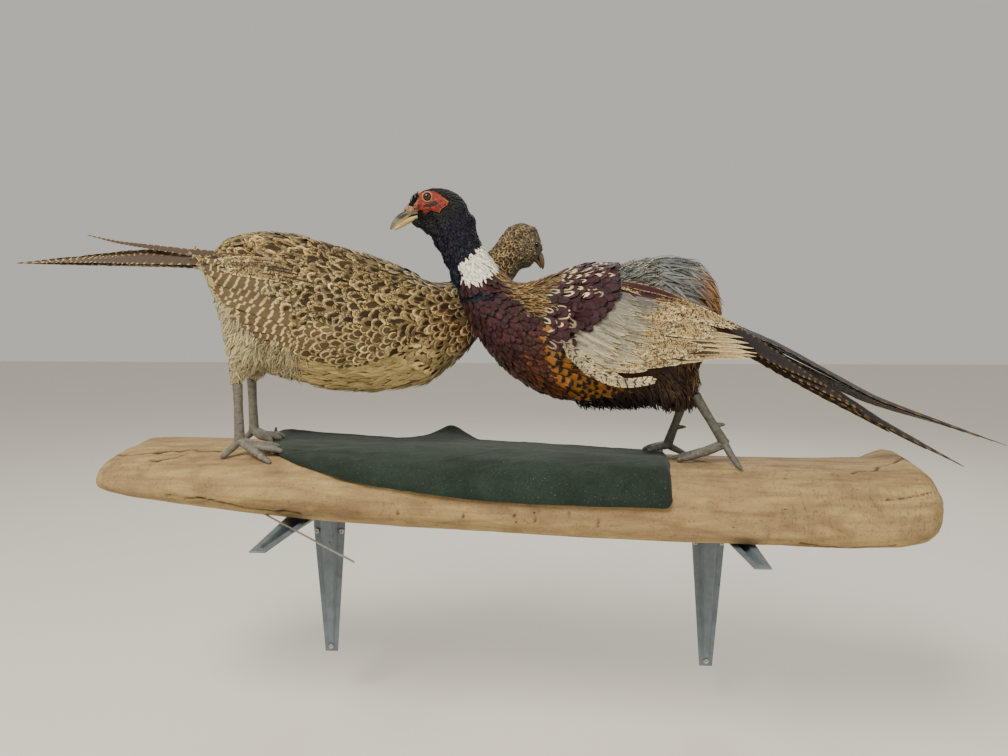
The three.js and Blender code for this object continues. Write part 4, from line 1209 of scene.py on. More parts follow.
def cock_rows():
    c = look("cock_look")
    quill = (c.brown, c.buff, c.cream)
    pale, grey = (c.brown, c.pale, c.cream), (c.brown, c.grey, c.pale)
    return (
        Row("primaries", 10, ((118, 147), (112, 162), (112, 186)), ((226, 160), (250, 158), (258, 162), (240, 180)),
            10, (0.2, 1.2), quill, (0.5, 0.84, 0.0, 0), "lance", 0.03, 0.14, extras=(0.3, 0, 0)),
        Row("tertials", 6, ((106, 214), (110, 234)), ((206, 196), (240, 188)), 11, (0.8, 2.4),
            (c.brown, c.buff, c.cream), (0.12, 0.86, 0.05, 0), "lance", 0.03, extras=(1.0, 0, 0), stray=2),
        Row("dark_tertials", 6, ((106, 226), (112, 238)), ((166, 214), (180, 219)), 5.4, (1.6, 3.4),
            (c.maroon, c.brown, c.buff), (0.5, 0.8, 0, 0), "lance", 0.03, 0.3, extras=(0.9, 0, 0), stray=3),
        Row("greater_coverts", 15, ((92, 150), (96, 180), (108, 228)), ((168, 154), (200, 170), (212, 196)),
            11, (0.6, 2.0), quill, (0.0, 0.9, 0.06, 0), "round", 0.02, 0.12, extras=(0.95, 0, 0), stray=3),
        Row("median_coverts", 16, ((78, 150), (86, 180), (106, 226)), ((134, 148), (162, 178), (182, 212)),
            11, (0.8, 2.6), quill, (0.0, 0.92, 0.04, 0), "round", 0.0, 0.12, extras=(0.9, 0, 0), stray=4),
        Row("grey_coverts", 34, ((62, 156), (74, 180), (88, 200), (106, 228)),
            ((112, 142), (136, 158), (142, 186), (152, 214)), 6.5, (1.0, 3.4), pale, (0.0, 0.9, 0.07, 0), "lance",
            0.0, 0.2, later=grey, extras=(0.3, 0, 0), stray=5),
        Row("lesser_coverts", 32, ((50, 171), (61, 181), (75, 201), (99, 234)),
            ((88, 144), (104, 160), (116, 184), (130, 218)), 6.5, (0.2, 4.0), pale, (0.0, 0.92, 0.05, 0), "lance", 0.0,
            0.2, later=grey, extras=(0.12, 0, 0), stray=4),
        Row("front_coverts", 18, ((50, 176), (54, 162), (74, 142)), ((76, 158), (92, 144), (122, 135)),
            7, (2.6, 3.8), (c.brown, c.pale, c.cream), (0.0, 0.85, 0.0, 2.5), "round", -0.05, 0.12,
            extras=(0.6, 0, -0.6), stray=1.5),
        Row("alula", 7, ((54, 168), (62, 156), (80, 146)), ((145, 131), (148, 135), (145, 139)), 8, (3.4, 4.2),
            (c.brown, c.pale, c.cream), (0.0, 0.86, 0.04, 12), "round", -0.15, 0.06, extras=(0.2, 0, -0.6)),
    )


def hen_rows():
    h = look("hen_look")
    quill = (h.barred, h.cream, h.cream)
    return (
        Row("primaries", 8, ((-196, 157), (-206, 178)), ((-286, 174), (-315, 193), (-344, 217), (-357, 241)), 10,
            (0.6, 4.8), quill, (0.0, 0.8, 0.0, 11), "round", -0.06, 0.12, extras=(0.2, 0, 0.75)),
        Row("secondaries", 9, ((-205, 178), (-250, 238)), ((-334, 222), (-350, 240), (-358, 264)), 14, (1.2, 5.2),
            quill, (0.0, 0.82, 0.05, 11), "round", -0.03, 0.12, extras=(0.3, 0, 0.8)),
        Row("tertials", 4, ((-216, 236), (-226, 254)), ((-330, 254), (-338, 268)), 13, (1.8, 5.6),
            (h.dark, h.buff, h.cream), (0.2, 0.86, 0.1, 0), "round", -0.03, 0.12, extras=(1.0, 0, 0), stray=3),
    )


class PHEASANT_OT_cock_wings(ScriptedOperator):
    """Lays the quills and coverts of the cock's two folded wings"""

    bl_idname = "pheasant.cock_wings"
    bl_label = "Cock's wings"

    def execute(self, context):
        bases = []
        for name in ("left", "right"):
            base = copy_of(f"cock_wing_{name}_base", f"cock_wing_{name}")
            remesh(base, 1.4 * MM, 8)
            move_points(base.data, points_of(base.data) - normals_of(base.data) * 0.9 * MM)
            # The wing bed is painted the dark down colour as painted shadow in the gaps between the quills and coverts.
            paint(base.data, "shade", np.tile(ink(look("cock_look").down), (len(base.data.vertices), 1)))
            smooth(base.data, 180)
            place(base, "cock_wing_feathers", skin_finish("Wing bed"), f"cock_wing_{name}")
            bases.append(base)
        for base, side in zip(bases, (-1, 1)):
            bed = Surface(base.data)
            plumage = Plumage()
            rng = rng_for(base.name)
            for row in cock_rows():
                grow_row(plumage, row, bed, side, COCK_SPINE, rng)
            wing = plumage.object(base.name.replace("base", "feathers"))
            place(wing, "cock_wing_feathers", feather_finish("Wing plumage", 0.6, 0.08, 0.3, 26.0))
        return {"FINISHED"}


class PHEASANT_OT_hen_wings(ScriptedOperator):
    """Lays the quills and coverts of the hen's two folded wings"""

    bl_idname = "pheasant.hen_wings"
    bl_label = "Hen's wings"

    def execute(self, context):
        bed = Surface(bpy.data.objects["hen_skin"].data)
        for name, side in (("left", -1), ("right", 1)):
            plumage = Plumage()
            rng = rng_for(f"hen wing {name}")
            for row in hen_rows():
                grow_row(plumage, row, bed, side, HEN_SPINE, rng)
            wing = plumage.object(f"hen_wing_{name}_feathers")
            place(wing, "hen_feathers", feather_finish("Hen wing plumage", 0.6, 0.06, 0.25, 22.0))
        return {"FINISHED"}


# ---- tails ----
class PHEASANT_OT_tails(ScriptedOperator):
    """Lays the long feathers of both tails"""

    bl_idname = "pheasant.tails"
    bl_label = "Tails"

    def execute(self, context):
        c = look("cock_look")
        h = look("hen_look")
        rng = rng_for("tails")

        def tail(name, feathers, colours, marks, extras, spine, slot, title, node, ragged):
            plumage = Plumage()
            for path, widths, roll in feathers:
                facing = (0, math.sin(roll), math.cos(roll))
                tone = math.exp(rng.normal(0, 0.1))
                start = np.array(path[:1]) * MM
                plumage.plume(
                    np.array(path) * MM, facing, np.array(widths) * MM, [ink(v) * tone for v in colours],
                    marks, extras, spine.unwrap(start)[0], rng, 60, ragged)
            place(plumage.object(name), slot, feather_finish(title, 0.5, 0.12, 0.4, 90.0), node)

        middle = COCK_Y / MM
        feathers = []
        for t in np.linspace(0, 1, 6):
            y = middle + 14 * (t - 0.5)
            drop = 16 * (t - 0.5)
            path = [(202, y, 206 - drop / 2), (290, y, 165 - drop), (400, y, 109 - 0.4 * drop),
                    (540 - 68 * t, y - 2, 60 + 22 * t)]
            feathers.append((path, (11, 11, 9, 8, 5, 0.6), (t - 0.5) * 0.6))
        outer = np.array((
            ((202, 12, 203), (285, 13, 163), (400, 8, 89), (500, 1, 34.5)),
            ((204, 18, 198), (265, 20, 167), (345, 14, 118), (422, 10, 71)),
            ((204, 24, 200), (245, 27, 180), (295, 24, 151), (340, 20, 125))))
        for side in (-1, 1):
            for s in np.linspace(0, 2, 5):
                low = min(int(s), 1)
                path = outer[low] * (1 - s + low) + outer[low + 1] * (s - low)
                path = [(x, middle + side * out, z) for x, out, z in path]
                feathers.append((path, (11, 12, 11, 9, 5, 0.6), side * (0.5 + 0.2 * s)))
        tail("cock_tail_feathers", feathers, (c.black, c.tail, c.ochre), (0.5, 0.88, 0.0, 22), (0.3, 0, 0.4),
             COCK_SPINE, "cock_tail_feathers", "Cock tail plumage", "cock_tail", 0.1)

        middle = HEN_Y / MM
        stray = [(-322, middle - 38, 272), (-384, middle - 14, 277.5), (-440, middle - 8, 285),
                 (-476, middle - 6, 290), (-514, middle - 4, 299)]
        feathers = [(stray, (2, 4, 3.6, 2.8, 2, 1.3, 0.4), -1.25)]
        for side in (-1, 1):
            for t in np.linspace(0, 1, 5):
                path = [(-350, middle + side * (4 + 14 * t), 268), (-440, middle + side * (3 + 16 * t), 274 - 4 * t),
                        (-520 + 30 * t, middle + side * (3 + 15 * t), 270 - t),
                        (-606 + 58 * t, middle + side * (1 + 12 * t), 266.5)]
                feathers.append((path, (11, 12, 11, 8, 4.5, 0.6), side * (0.95 - 0.45 * t)))
        tail("hen_tail_feathers", feathers, (h.tail, h.barred, h.cream), (0.45, 0.8, 0.0, 26), (0.6, 0, 0.8),
             HEN_SPINE, "hen_feathers", "Hen tail plumage", "hen", 0.08)
        return {"FINISHED"}


# ---- faces ----
def patch(name, outline, bed, side, step, height, thick):
    """A closed pad cast on a surface from one side: a grid inside an outline, raised by a height."""
    corners = np.array(outline, float) * MM
    low, high = corners.min(0), corners.max(0)
    xs = np.arange(low[0], high[0] + step, step)
    zs = np.arange(low[1], high[1] + step, step)
    grid_x, grid_z = (values.ravel() for values in np.meshgrid(xs, zs, indexing="ij"))
    kept = inside(outline, grid_x, grid_z)
    index = np.full(len(kept), -1)
    index[kept] = np.arange(kept.sum())
    table = index.reshape(len(xs), len(zs))
    quads = np.stack([table[:-1, :-1], table[1:, :-1], table[1:, 1:], table[:-1, 1:]], -1).reshape(-1, 4)
    quads = quads[(quads >= 0).all(1)]
    places, normals = bed.from_side(grid_x[kept], grid_z[kept], side)
    for _ in range(2):
        for a, b in ((quads[:, 0], quads[:, 2]), (quads[:, 1], quads[:, 3])):
            middle = (places[a] + places[b]) / 2
            places[a, 1] += 0.2 * (middle[:, 1] - places[a, 1])
            places[b, 1] += 0.2 * (middle[:, 1] - places[b, 1])
    places += unit(normals) * height(places)[:, None]
    mesh = quad_mesh(name, places, quads if side < 0 else quads[:, ::-1])
    obj = linked(name, mesh)
    thicken(obj, thick)
    smooth(obj.data, 60)
    return obj


def domes(points, spacing, rng):
    """How high each point stands on domes packed at a spacing, from 0 to 1."""
    cells = {}
    seeds = []
    for p in (points[by_place(points)] + rng.uniform(-0.5, 0.5, points.shape) * spacing * 0.5).tolist():
        key = tuple(math.floor(v / spacing) for v in p)
        if key not in cells:
            cells[key] = p
            seeds.append(p)
    seeds = np.array(seeds)
    distance = np.sqrt(((points[:, None] - seeds[None]) ** 2).sum(2).min(1)) / spacing
    return np.sqrt(np.clip(1 - (distance / 0.62) ** 2, 0, 1))


@once
def paint_finish(name, rough, specular, strength=0.4, fine=900.0, sheen=0.0):
    """A finish whose colour is painted on the mesh's points, with a fine grain."""
    material, n, shader = finish_of(name, Roughness=rough, Specular_IOR_Level=specular, Sheen_Weight=sheen)
    grain = n.noise(n.place(), fine, 4.0)
    shade = n.attribute("shade").outputs["Color"]
    dark = n.mix(1.0, shade, (0.62, 0.6, 0.58), "MULTIPLY")
    bump = n.new("ShaderNodeBump", Height=grain, Strength=strength, Distance=0.0004)
    n.feed(shader, Base_Color=n.mix(n.step(grain, 0.35, 0.65), dark, shade), Normal=bump.outputs[0])
    return material


# side views in millimetres: the red pad, its pale rear edge and the dark patch round the eye
WATTLE = ((-111, 333), (-110, 339), (-101, 341), (-92, 340), (-87, 337), (-81, 332), (-76, 328), (-78, 324),
          (-84, 320), (-86, 316), (-89, 317), (-96, 319), (-102, 315), (-105, 318), (-106, 320), (-110, 320),
          (-116, 320), (-117, 325), (-113, 329))
WATTLE_REAR = ((-81, 332), (-76, 328), (-78, 324), (-84, 320), (-86, 316))
EYE_PATCH = ((-105, 324), (-101, 325.6), (-97, 328), (-91, 329.5), (-87.5, 327.5), (-89, 325), (-93, 324),
             (-97, 322.6), (-102, 322.8))


def from_line(line, x, z):
    """Distance in metres from each place of a side view to a broken line in millimetres."""
    best = np.full(len(x), 1e9)
    places = np.stack([x, z], 1)
    corners = np.array(line, float) * MM
    for start, end in zip(corners, corners[1:]):
        way = end - start
        share = np.clip(((places - start) @ way) / (way @ way), 0, 1)
        best = np.minimum(best, np.linalg.norm(places - start - share[:, None] * way, axis=1))
    return best


def blend(base, other, share):
    return base * (1 - share[:, None]) + ink(other) * share[:, None]


def eyeball(name, centre, radius, side, lid_ink, lid_slot):
    """A glass eye with a ring of eyelid round it."""
    bpy.ops.mesh.primitive_uv_sphere_add(segments=40, ring_count=24, radius=radius, location=centre)
    eye = bpy.context.object
    eye.name = name
    bpy.ops.object.transform_apply(location=True, rotation=True, scale=True)
    smooth(eye.data, 180)
    place(eye, "eye_glass", eye_finish(name.replace("_", " "), centre))
    bpy.ops.mesh.primitive_torus_add(
        major_segments=56, minor_segments=14, major_radius=radius * 0.98, minor_radius=radius * 0.2,
        location=Vector(centre) + Vector((0, side * radius * 0.3, 0)), rotation=(math.radians(90), 0, 0))
    lid = bpy.context.object
    lid.name = name.replace("eye", "lid")
    bpy.ops.object.transform_apply(location=True, rotation=True, scale=True)
    points = points_of(lid.data)
    wrinkle = 0.18 * MM * np.sin(np.arctan2(points[:, 2] - centre[2], points[:, 0] - centre[0]) * 26)
    move_points(lid.data, points + normals_of(lid.data) * wrinkle[:, None])
    # The lid is painted lighter on its wrinkle ridges and darker in the furrows, which is a painted highlight and
    # painted shade.
    paint(lid.data, "shade", np.tile(ink(lid_ink), (len(points), 1)) * (0.9 + 0.5 * wrinkle[:, None] / MM))
    smooth(lid.data, 180)
    place(lid, lid_slot, paint_finish("Eyelid", 0.5, 0.4))
    return eye


class PHEASANT_OT_cock_face(ScriptedOperator):
    """Adds the cock's bare red face, lids and eyes"""

    bl_idname = "pheasant.cock_face"
    bl_label = "Cock's face"

    def execute(self, context):
        c = look("cock_look")
        skin = Surface(bpy.data.objects["cock_skin"].data)
        for name, side in (("left", -1), ("right", 1)):
            rng = rng_for(f"wattle {name}")
            node = f"cock_eye_{name}"
            low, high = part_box(node)
            centre = (Vector(low) + Vector(high)) / 2
            radius = (high[2] - low[2]) / 2

            def height(points):
                x, z = points[:, 0], points[:, 2]
                from_eye = np.hypot(x - centre.x, z - centre.z)
                swell = np.clip(from_line([*WATTLE, WATTLE[0]], x, z) / (2.2 * MM), 0, 1) ** 0.5
                bare = np.clip((from_eye - 5 * MM) / (2 * MM), 0, 1)
                return (0.5 + 1.1 * swell + 0.7 * bare * domes(points, 1.35 * MM, rng)) * MM
            wattle = patch(f"cock_wattle_{name}", WATTLE, skin, side, 0.42 * MM, height, 2.2 * MM)
            points = points_of(wattle.data)
            x, z = points[:, 0], points[:, 2]
            # The tone varies at random, and it is lighter on small domes and darker between them, which is painted
            # shade in the hollows between the papillae.
            tone = 0.62 + 0.6 * field(points, (260, 260, 260), 3) + 0.4 * domes(points, 1.35 * MM, rng_for("tone"))
            shade = np.tile(ink(c.wattle), (len(points), 1)) * tone[:, None]
            shade = blend(shade, c.lore, np.clip((-110 * MM - x) / (5 * MM), 0, 1) * 0.85)
            speck = np.clip(field(points, (520, 520, 520), 5) * 5 - 0.5, 0, 1) * (z < 326 * MM)
            shade = blend(shade, c.black, speck * 0.8)
            shade = blend(shade, c.lid, 0.75 * np.clip(1 - from_line(WATTLE_REAR, x, z) / (1.6 * MM), 0, 1))
            from_eye = np.hypot(x - centre.x, z - centre.z)
            shade = blend(shade, c.lid, 0.7 * np.clip(1 - np.abs(from_eye - 5.2 * MM) / (1.3 * MM), 0, 1))
            shade = blend(shade, c.black, inside(EYE_PATCH, x, z) * 0.97)
            paint(wattle.data, "shade", shade)
            place(wattle, "cock_head_feathers", paint_finish("Bare red skin", 0.55, 0.3))
            eye = eyeball(f"cock_{name}_eye", centre, radius, side, c.lid, "cock_head_feathers")
            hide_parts(node)
        bpy.ops.mesh.primitive_uv_sphere_add(segments=48, ring_count=28, location=(0, 0, 0))
        cere = context.object
        cere.name = "cock_cere"
        cere.scale = Vector((10.5, 7.8, 7.2)) * MM
        cere.rotation_euler = (0, math.radians(-14), 0)
        cere.location = Vector((-119, -131, 323)) * MM
        bpy.ops.object.transform_apply(location=True, rotation=True, scale=True)
        points = points_of(cere.data)
        move_points(cere.data, points + normals_of(cere.data) * (field(points, (280, 280, 280)) * 0.5 * MM)[:, None])
        # The nostril is not cut into the cere. Its opening is painted black, which is painted shade.
        nostril = np.hypot((points[:, 0] + 126.5 * MM) / 1.6, points[:, 2] - 320.6 * MM) < 0.9 * MM
        shade = np.tile(ink(c.lore), (len(points), 1)) * (0.8 + 0.5 * field(points, (350, 350, 350), 2))[:, None]
        shade = blend(shade, c.wattle, np.clip((points[:, 0] + 121 * MM) / (7 * MM), 0, 1) * 0.5)
        paint(cere.data, "shade", blend(shade, c.black, nostril * 0.9))
        smooth(cere.data, 180)
        place(cere, "bill_horn", paint_finish("Cere", 0.6, 0.35))
        return {"FINISHED"}


def eye_finish(name, centre):
    """Glass eye: a dark pupil in a brown iris, by the distance from the eye's middle."""
    material, n, shader = finish_of(name, Roughness=0.06, Specular_IOR_Level=0.45)
    middle = n.new("ShaderNodeVectorMath", i0=n.place(), i1=tuple(centre))
    middle.operation = "SUBTRACT"
    parts = n.new("ShaderNodeSeparateXYZ", Vector=middle.outputs[0]).outputs
    radius = n.math("SQRT", n.plus(n.math("POWER", parts[0], 2.0), n.math("POWER", parts[2], 2.0)))
    iris = n.mix(n.step(radius, 0.0016, 0.0020), (0.003, 0.002, 0.002), (0.05, 0.018, 0.006))
    n.feed(shader, Base_Color=n.mix(n.step(radius, 0.0027, 0.0032), iris, (0.008, 0.005, 0.003)))
    return material


def drawn_horn(name, y, rings):
    """A disc drawn out into a horn through rings of (x, z, half height, half width), in millimetres."""
    path = np.array([ring[:2] for ring in rings], float) * MM
    sizes = np.array([ring[2:] for ring in rings], float) * MM
    way = np.gradient(path, axis=0)
    turn = np.unwrap(np.arctan2(way[:, 1], way[:, 0]))
    bpy.ops.mesh.primitive_circle_add(vertices=20, radius=1, fill_type="NGON")
    horn = bpy.context.object
    horn.name = name
    horn.scale = (sizes[0, 0], sizes[0, 1], 1)
    horn.rotation_euler = (0, math.pi / 2 - turn[0], 0)
    horn.location = (path[0, 0], y * MM, path[0, 1])
    bpy.ops.object.transform_apply(location=True, rotation=True, scale=True)
    bpy.ops.object.mode_set(mode="EDIT")
    bpy.ops.mesh.select_all(action="SELECT")
    for i in range(1, len(rings)):
        step = path[i] - path[i - 1]
        grow = sizes[i] / sizes[i - 1]
        bpy.ops.mesh.extrude_region_move(TRANSFORM_OT_translate={"value": (step[0], 0, step[1])})
        bpy.ops.transform.rotate(
            value=turn[i] - turn[i - 1], orient_axis="Y", center_override=(path[i, 0], y * MM, path[i, 1]))
        bpy.ops.transform.resize(value=(grow[0], grow[1], grow[0]))
    bpy.ops.mesh.select_all(action="SELECT")
    bpy.ops.mesh.normals_make_consistent(inside=False)
    bpy.ops.object.mode_set(mode="OBJECT")
    modifier = horn.modifiers.new("Round", "SUBSURF")
    modifier.levels = 2
    modifier.render_levels = 2
    apply_modifiers(horn)
    smooth(horn.data, 180)
    return horn


COCK_BILL = {
    "upper": ((-104, 318, 3.5, 6.6), (-112, 319, 3.6, 6.4), (-119, 319, 3.7, 6.0), (-126, 317.6, 4.2, 5.2),
              (-132.5, 313.8, 4.9, 4.4), (-138.2, 308.8, 4.3, 3.3), (-142.3, 304.2, 3.0, 2.1),
              (-145, 300.2, 0.9, 0.8)),
    "lower": ((-104, 315, 3.4, 5.6), (-112, 314.6, 3.2, 5.4), (-119, 312.2, 3.3, 4.9), (-126, 309.2, 3.4, 4.2),
              (-132.5, 305.2, 3.0, 3.2), (-138, 301.8, 1.9, 2.1), (-141.4, 299.5, 0.7, 0.8)),
}
COCK_CUT = ((-106, 316.6), (-124, 314.6), (-134, 308.2), (-142, 300.4))
HEN_BILL = {
    "upper": ((20.5, 281, 5.2, 5.4), (23.4, 276.5, 4.6, 4.8), (25.6, 271, 3.8, 3.8), (26.8, 265.5, 2.6, 2.4),
              (27, 260, 0.8, 0.8)),
    "lower": ((15.5, 275, 3.6, 4.6), (19.4, 271, 2.8, 3.8), (22.6, 266.5, 1.9, 2.6), (24.8, 261.5, 0.7, 0.8)),
}


class PHEASANT_OT_bills(ScriptedOperator):
    """Draws out both birds' bills"""

    bl_idname = "pheasant.bills"
    bl_label = "Bills"

    def execute(self, context):
        c = look("cock_look")
        h = look("hen_look")
        for part, rings in COCK_BILL.items():
            bill = drawn_horn(f"cock_bill_{part}_horn", -131, rings)
            points = points_of(bill.data)
            x, z = points[:, 0], points[:, 2]
            grain = 0.85 + 0.4 * field(points, (120, 120, 400), 2)
            edge = np.clip(1.4 - from_line(COCK_CUT, x, z) / (1.2 * MM), 0, 1)
            if part == "upper":
                shade = np.tile(ink(c.horn), (len(points), 1)) * grain[:, None]
                culmen = np.clip(1 - np.hypot((x + 132 * MM) / 1.7, z - 316.5 * MM) / (5.5 * MM), 0, 1)
                shade = blend(shade, c.culmen, np.clip(culmen * 3.2, 0, 0.92))
                shade = blend(shade, c.bill_edge, edge)
            else:
                shade = np.tile(ink(c.bill_edge), (len(points), 1)) * grain[:, None]
            paint(bill.data, "shade", shade)
            place(bill, "bill_horn", paint_finish("Horn", 0.32, 0.5, 0.25), f"cock_bill_{part}")
        for part, rings in HEN_BILL.items():
            bill = drawn_horn(f"hen_bill_{part}_horn", -45, rings)
            points = points_of(bill.data)
            tip = np.clip((268 * MM - points[:, 2]) / (10 * MM), 0, 1)
            paint(bill.data, "shade", blend(np.tile(ink(h.horn), (len(points), 1)), h.dark, tip * 0.5))
            place(bill, "bill_horn", paint_finish("Hen horn", 0.35, 0.45, 0.25), "hen")
        for name, side in (("left", -1), ("right", 1)):
            centre = Vector((20, -45 + side * 12.5, 289.5)) * MM
            eyeball(f"hen_{name}_eye", centre, 3.5 * MM, side, h.face, "hen_feathers")
        return {"FINISHED"}


# ---- feet ----
def foot_finish():
    return paint_finish("Leg skin", 0.55, 0.4, 0.5, 1400.0)


def scaled(obj, bones, skin, claws, claw_ink, swell, claw_length=8 * MM):
    """Raises rings of scales along the bones, swells them by some millimetres and paints the claws."""
    points = points_of(obj.data)
    best = np.full(len(points), 1e9)
    rise = np.zeros(len(points))
    horn = np.zeros(len(points))
    for (start, end), has_claw in zip(bones, claws):
        start, end = (np.array(v, float) * MM for v in (start, end))
        way = end - start
        size = np.linalg.norm(way)
        t = np.clip(((points - start) @ way) / (way @ way), 0, 1)
        off = points - start - t[:, None] * way
        distance = np.linalg.norm(off, axis=1)
        near = distance < best
        best[near] = distance[near]
        phase = t * size / (2.6 * MM)
        front = np.clip(off[:, 2] / np.maximum(distance, 1e-6) * 0.5 + 0.6, 0, 1)
        ring = (phase % 1) ** 0.5 * front
        rise[near] = ring[near]
        tip = np.clip((t * size - (size - claw_length)) / (1.5 * MM), 0, 1) if has_claw else 0 * t
        horn[near] = tip[near]
    rise *= 1 - horn
    move_points(obj.data, points + normals_of(obj.data) * ((swell + rise * 0.6) * (1 - horn) * MM)[:, None])
    grain = field(points, 300)[:, None]
    # The skin is painted lighter on the scale rises, which are highest on the upper side, and darker in the grooves
    # between them. This is a painted highlight and painted shade, and the grain adds random tone.
    shade = ink(skin) * (0.55 + 0.6 * rise[:, None] + 0.4 * grain)
    paint(obj.data, "shade", shade * (1 - horn[:, None]) + ink(claw_ink) * horn[:, None])
    smooth(obj.data, 180)


COCK_LEGS = {  # the places of the hock, the ankle and the tips of the four toes
    "left": ((197, -142, 115), (232, -137, 60),
             ((178, -116, 10), (181, -130, 10), (200, -98, 10), (244, -164, 10))),
    "right": ((194, -100, 108), (176, -89, 50),
              ((152, -100, 10), (148, -86, 10), (160, -66, 10), (201, -80, 10))),
}
HEN_LEGS = (
    ((-326, -134, 136), (-325, -134, 58), ((-274, -137, 10), (-284, -120, 10), (-284, -151, 10), (-345, -140, 10))),
    ((-331, -79, 134), (-330, -78, 62), ((-296, -80, 10), (-301, -97, 10), (-298, -62, 10), (-352, -70, 10))),
)


class PHEASANT_OT_feet(ScriptedOperator):
    """Refines the legs and toes with scales and claws"""

    bl_idname = "pheasant.feet"
    bl_label = "Feet"

    def execute(self, context):
        c = look("cock_look")
        h = look("hen_look")
        for name, (hock, ankle, toes) in COCK_LEGS.items():
            foot = copy_of(f"cock_foot_{name}_skin", f"cock_foot_{name}")
            remesh(foot, 0.8 * MM, 4)
            bones = [(hock, ankle)] + [(ankle, toe) for toe in toes]
            scaled(foot, bones, c.leg, [False] + [True] * 4, c.horn, 1.2)
            place(foot, "leg_skin", foot_finish(), f"cock_foot_{name}")
        legs = copy_of("hen_legs", "hen")
        work = bmesh.new()
        work.from_mesh(legs.data)
        cut(work, (-345, 0, 126), (0.09, 0, 1), clear_outer=True)
        belly = [v for v in work.verts if v.co.x > -262 * MM and v.co.z > 70 * MM]
        bmesh.ops.delete(work, geom=belly, context="VERTS")
        work.to_mesh(legs.data)
        work.free()
        remesh(legs, 0.8 * MM, 4)
        bones, claws = [], []
        for hock, ankle, toes in HEN_LEGS:
            bones += [(hock, ankle)] + [(ankle, toe) for toe in toes]
            claws += [False] + [True] * 4
        scaled(legs, bones, h.leg, claws, c.horn, 1.6)
        place(legs, "leg_skin", foot_finish(), "hen")
        return {"FINISHED"}


# ---- mount ----
CRACK_PLANE = -0.150
CRACKS = (  # as the camera sees them on the crack plane, in front of the slab
    ((367, 33), (391, 37), (416, 47), (431, 51)),
    ((406, 3), (431, 6), (455, 13)),
    ((314, -50), (336, -53), (361, -54), (416, -50)),
    ((-466, 42), (-426, 45), (-383, 49), (-340, 49)),
    ((-426, 37), (-393, 41), (-381, 45)),
    ((-409, -4), (-358, -10), (-311, -19), (-250, -24)),
    ((-135, -4), (-136, -22)), ((-60, -13), (-61, -27)), ((-3, -22), (-1, -31)), ((14, -5), (13, -14)),
    ((19, -18), (20, -29)), ((58, -18), (57, -33)), ((90, -20), (91, -32)),
)


class PHEASANT_OT_slab(ScriptedOperator):
    """Carves the driftwood slab"""

    bl_idname = "pheasant.slab"
    bl_label = "Slab"

    def execute(self, context):
        m = look("mount_look")
        slab = copy_of("driftwood_slab", "slab")
        remesh(slab, 2.8 * MM, 12)
        points = points_of(slab.data)
        normals = normals_of(slab.data)
        bend = points + 0.010 * np.stack([field(points, (9, 9, 9), s) for s in (0, 7, 13)], 1)
        broad = field(bend, (5, 20, 20), 3)
        groove = np.abs(field(bend, (6, 60, 60), 5))
        fine = np.abs(field(bend, (14, 190, 190), 9))
        eye = np.array(look("stage_look").eye)
        reach = (CRACK_PLANE - eye[1]) / (points[:, 1] - eye[1])
        seen = eye + (points - eye) * reach[:, None]
        wander = 2.2 * MM * field(points, (70, 70, 70), 17)
        gap = np.min([from_line(line, seen[:, 0], seen[:, 2] + wander) for line in CRACKS], 0)
        toward = ((eye - points) * normals).sum(1) > 0
        split = np.clip(1.2 - gap / (0.9 * MM), 0, 1) * toward
        back = np.clip(-points[:, 1] / (6 * MM), 0, 1)
        depth = back * (2.0 * np.clip(0.25 - broad, 0, 1) + 0.7 * (1 - np.clip(groove / 0.2, 0, 1)) ** 2
                        + 0.25 * (1 - np.clip(fine / 0.2, 0, 1)) + 2.4 * split) * MM
        move_points(slab.data, points - normals * depth[:, None])
        # These are masks for the finish: broad weathering, the carved groove lines and the carved cracks. The finish
        # paints the grooves and cracks darker as painted shade.
        wear = np.stack([np.clip(broad * 1.5 + 0.5, 0, 1), 1 - np.clip(groove / 0.2, 0, 1), split], 1)
        paint(slab.data, "wear", wear)
        smooth(slab.data, 180)
        place(slab, "driftwood", wood_finish(m), "slab")
        return {"FINISHED"}


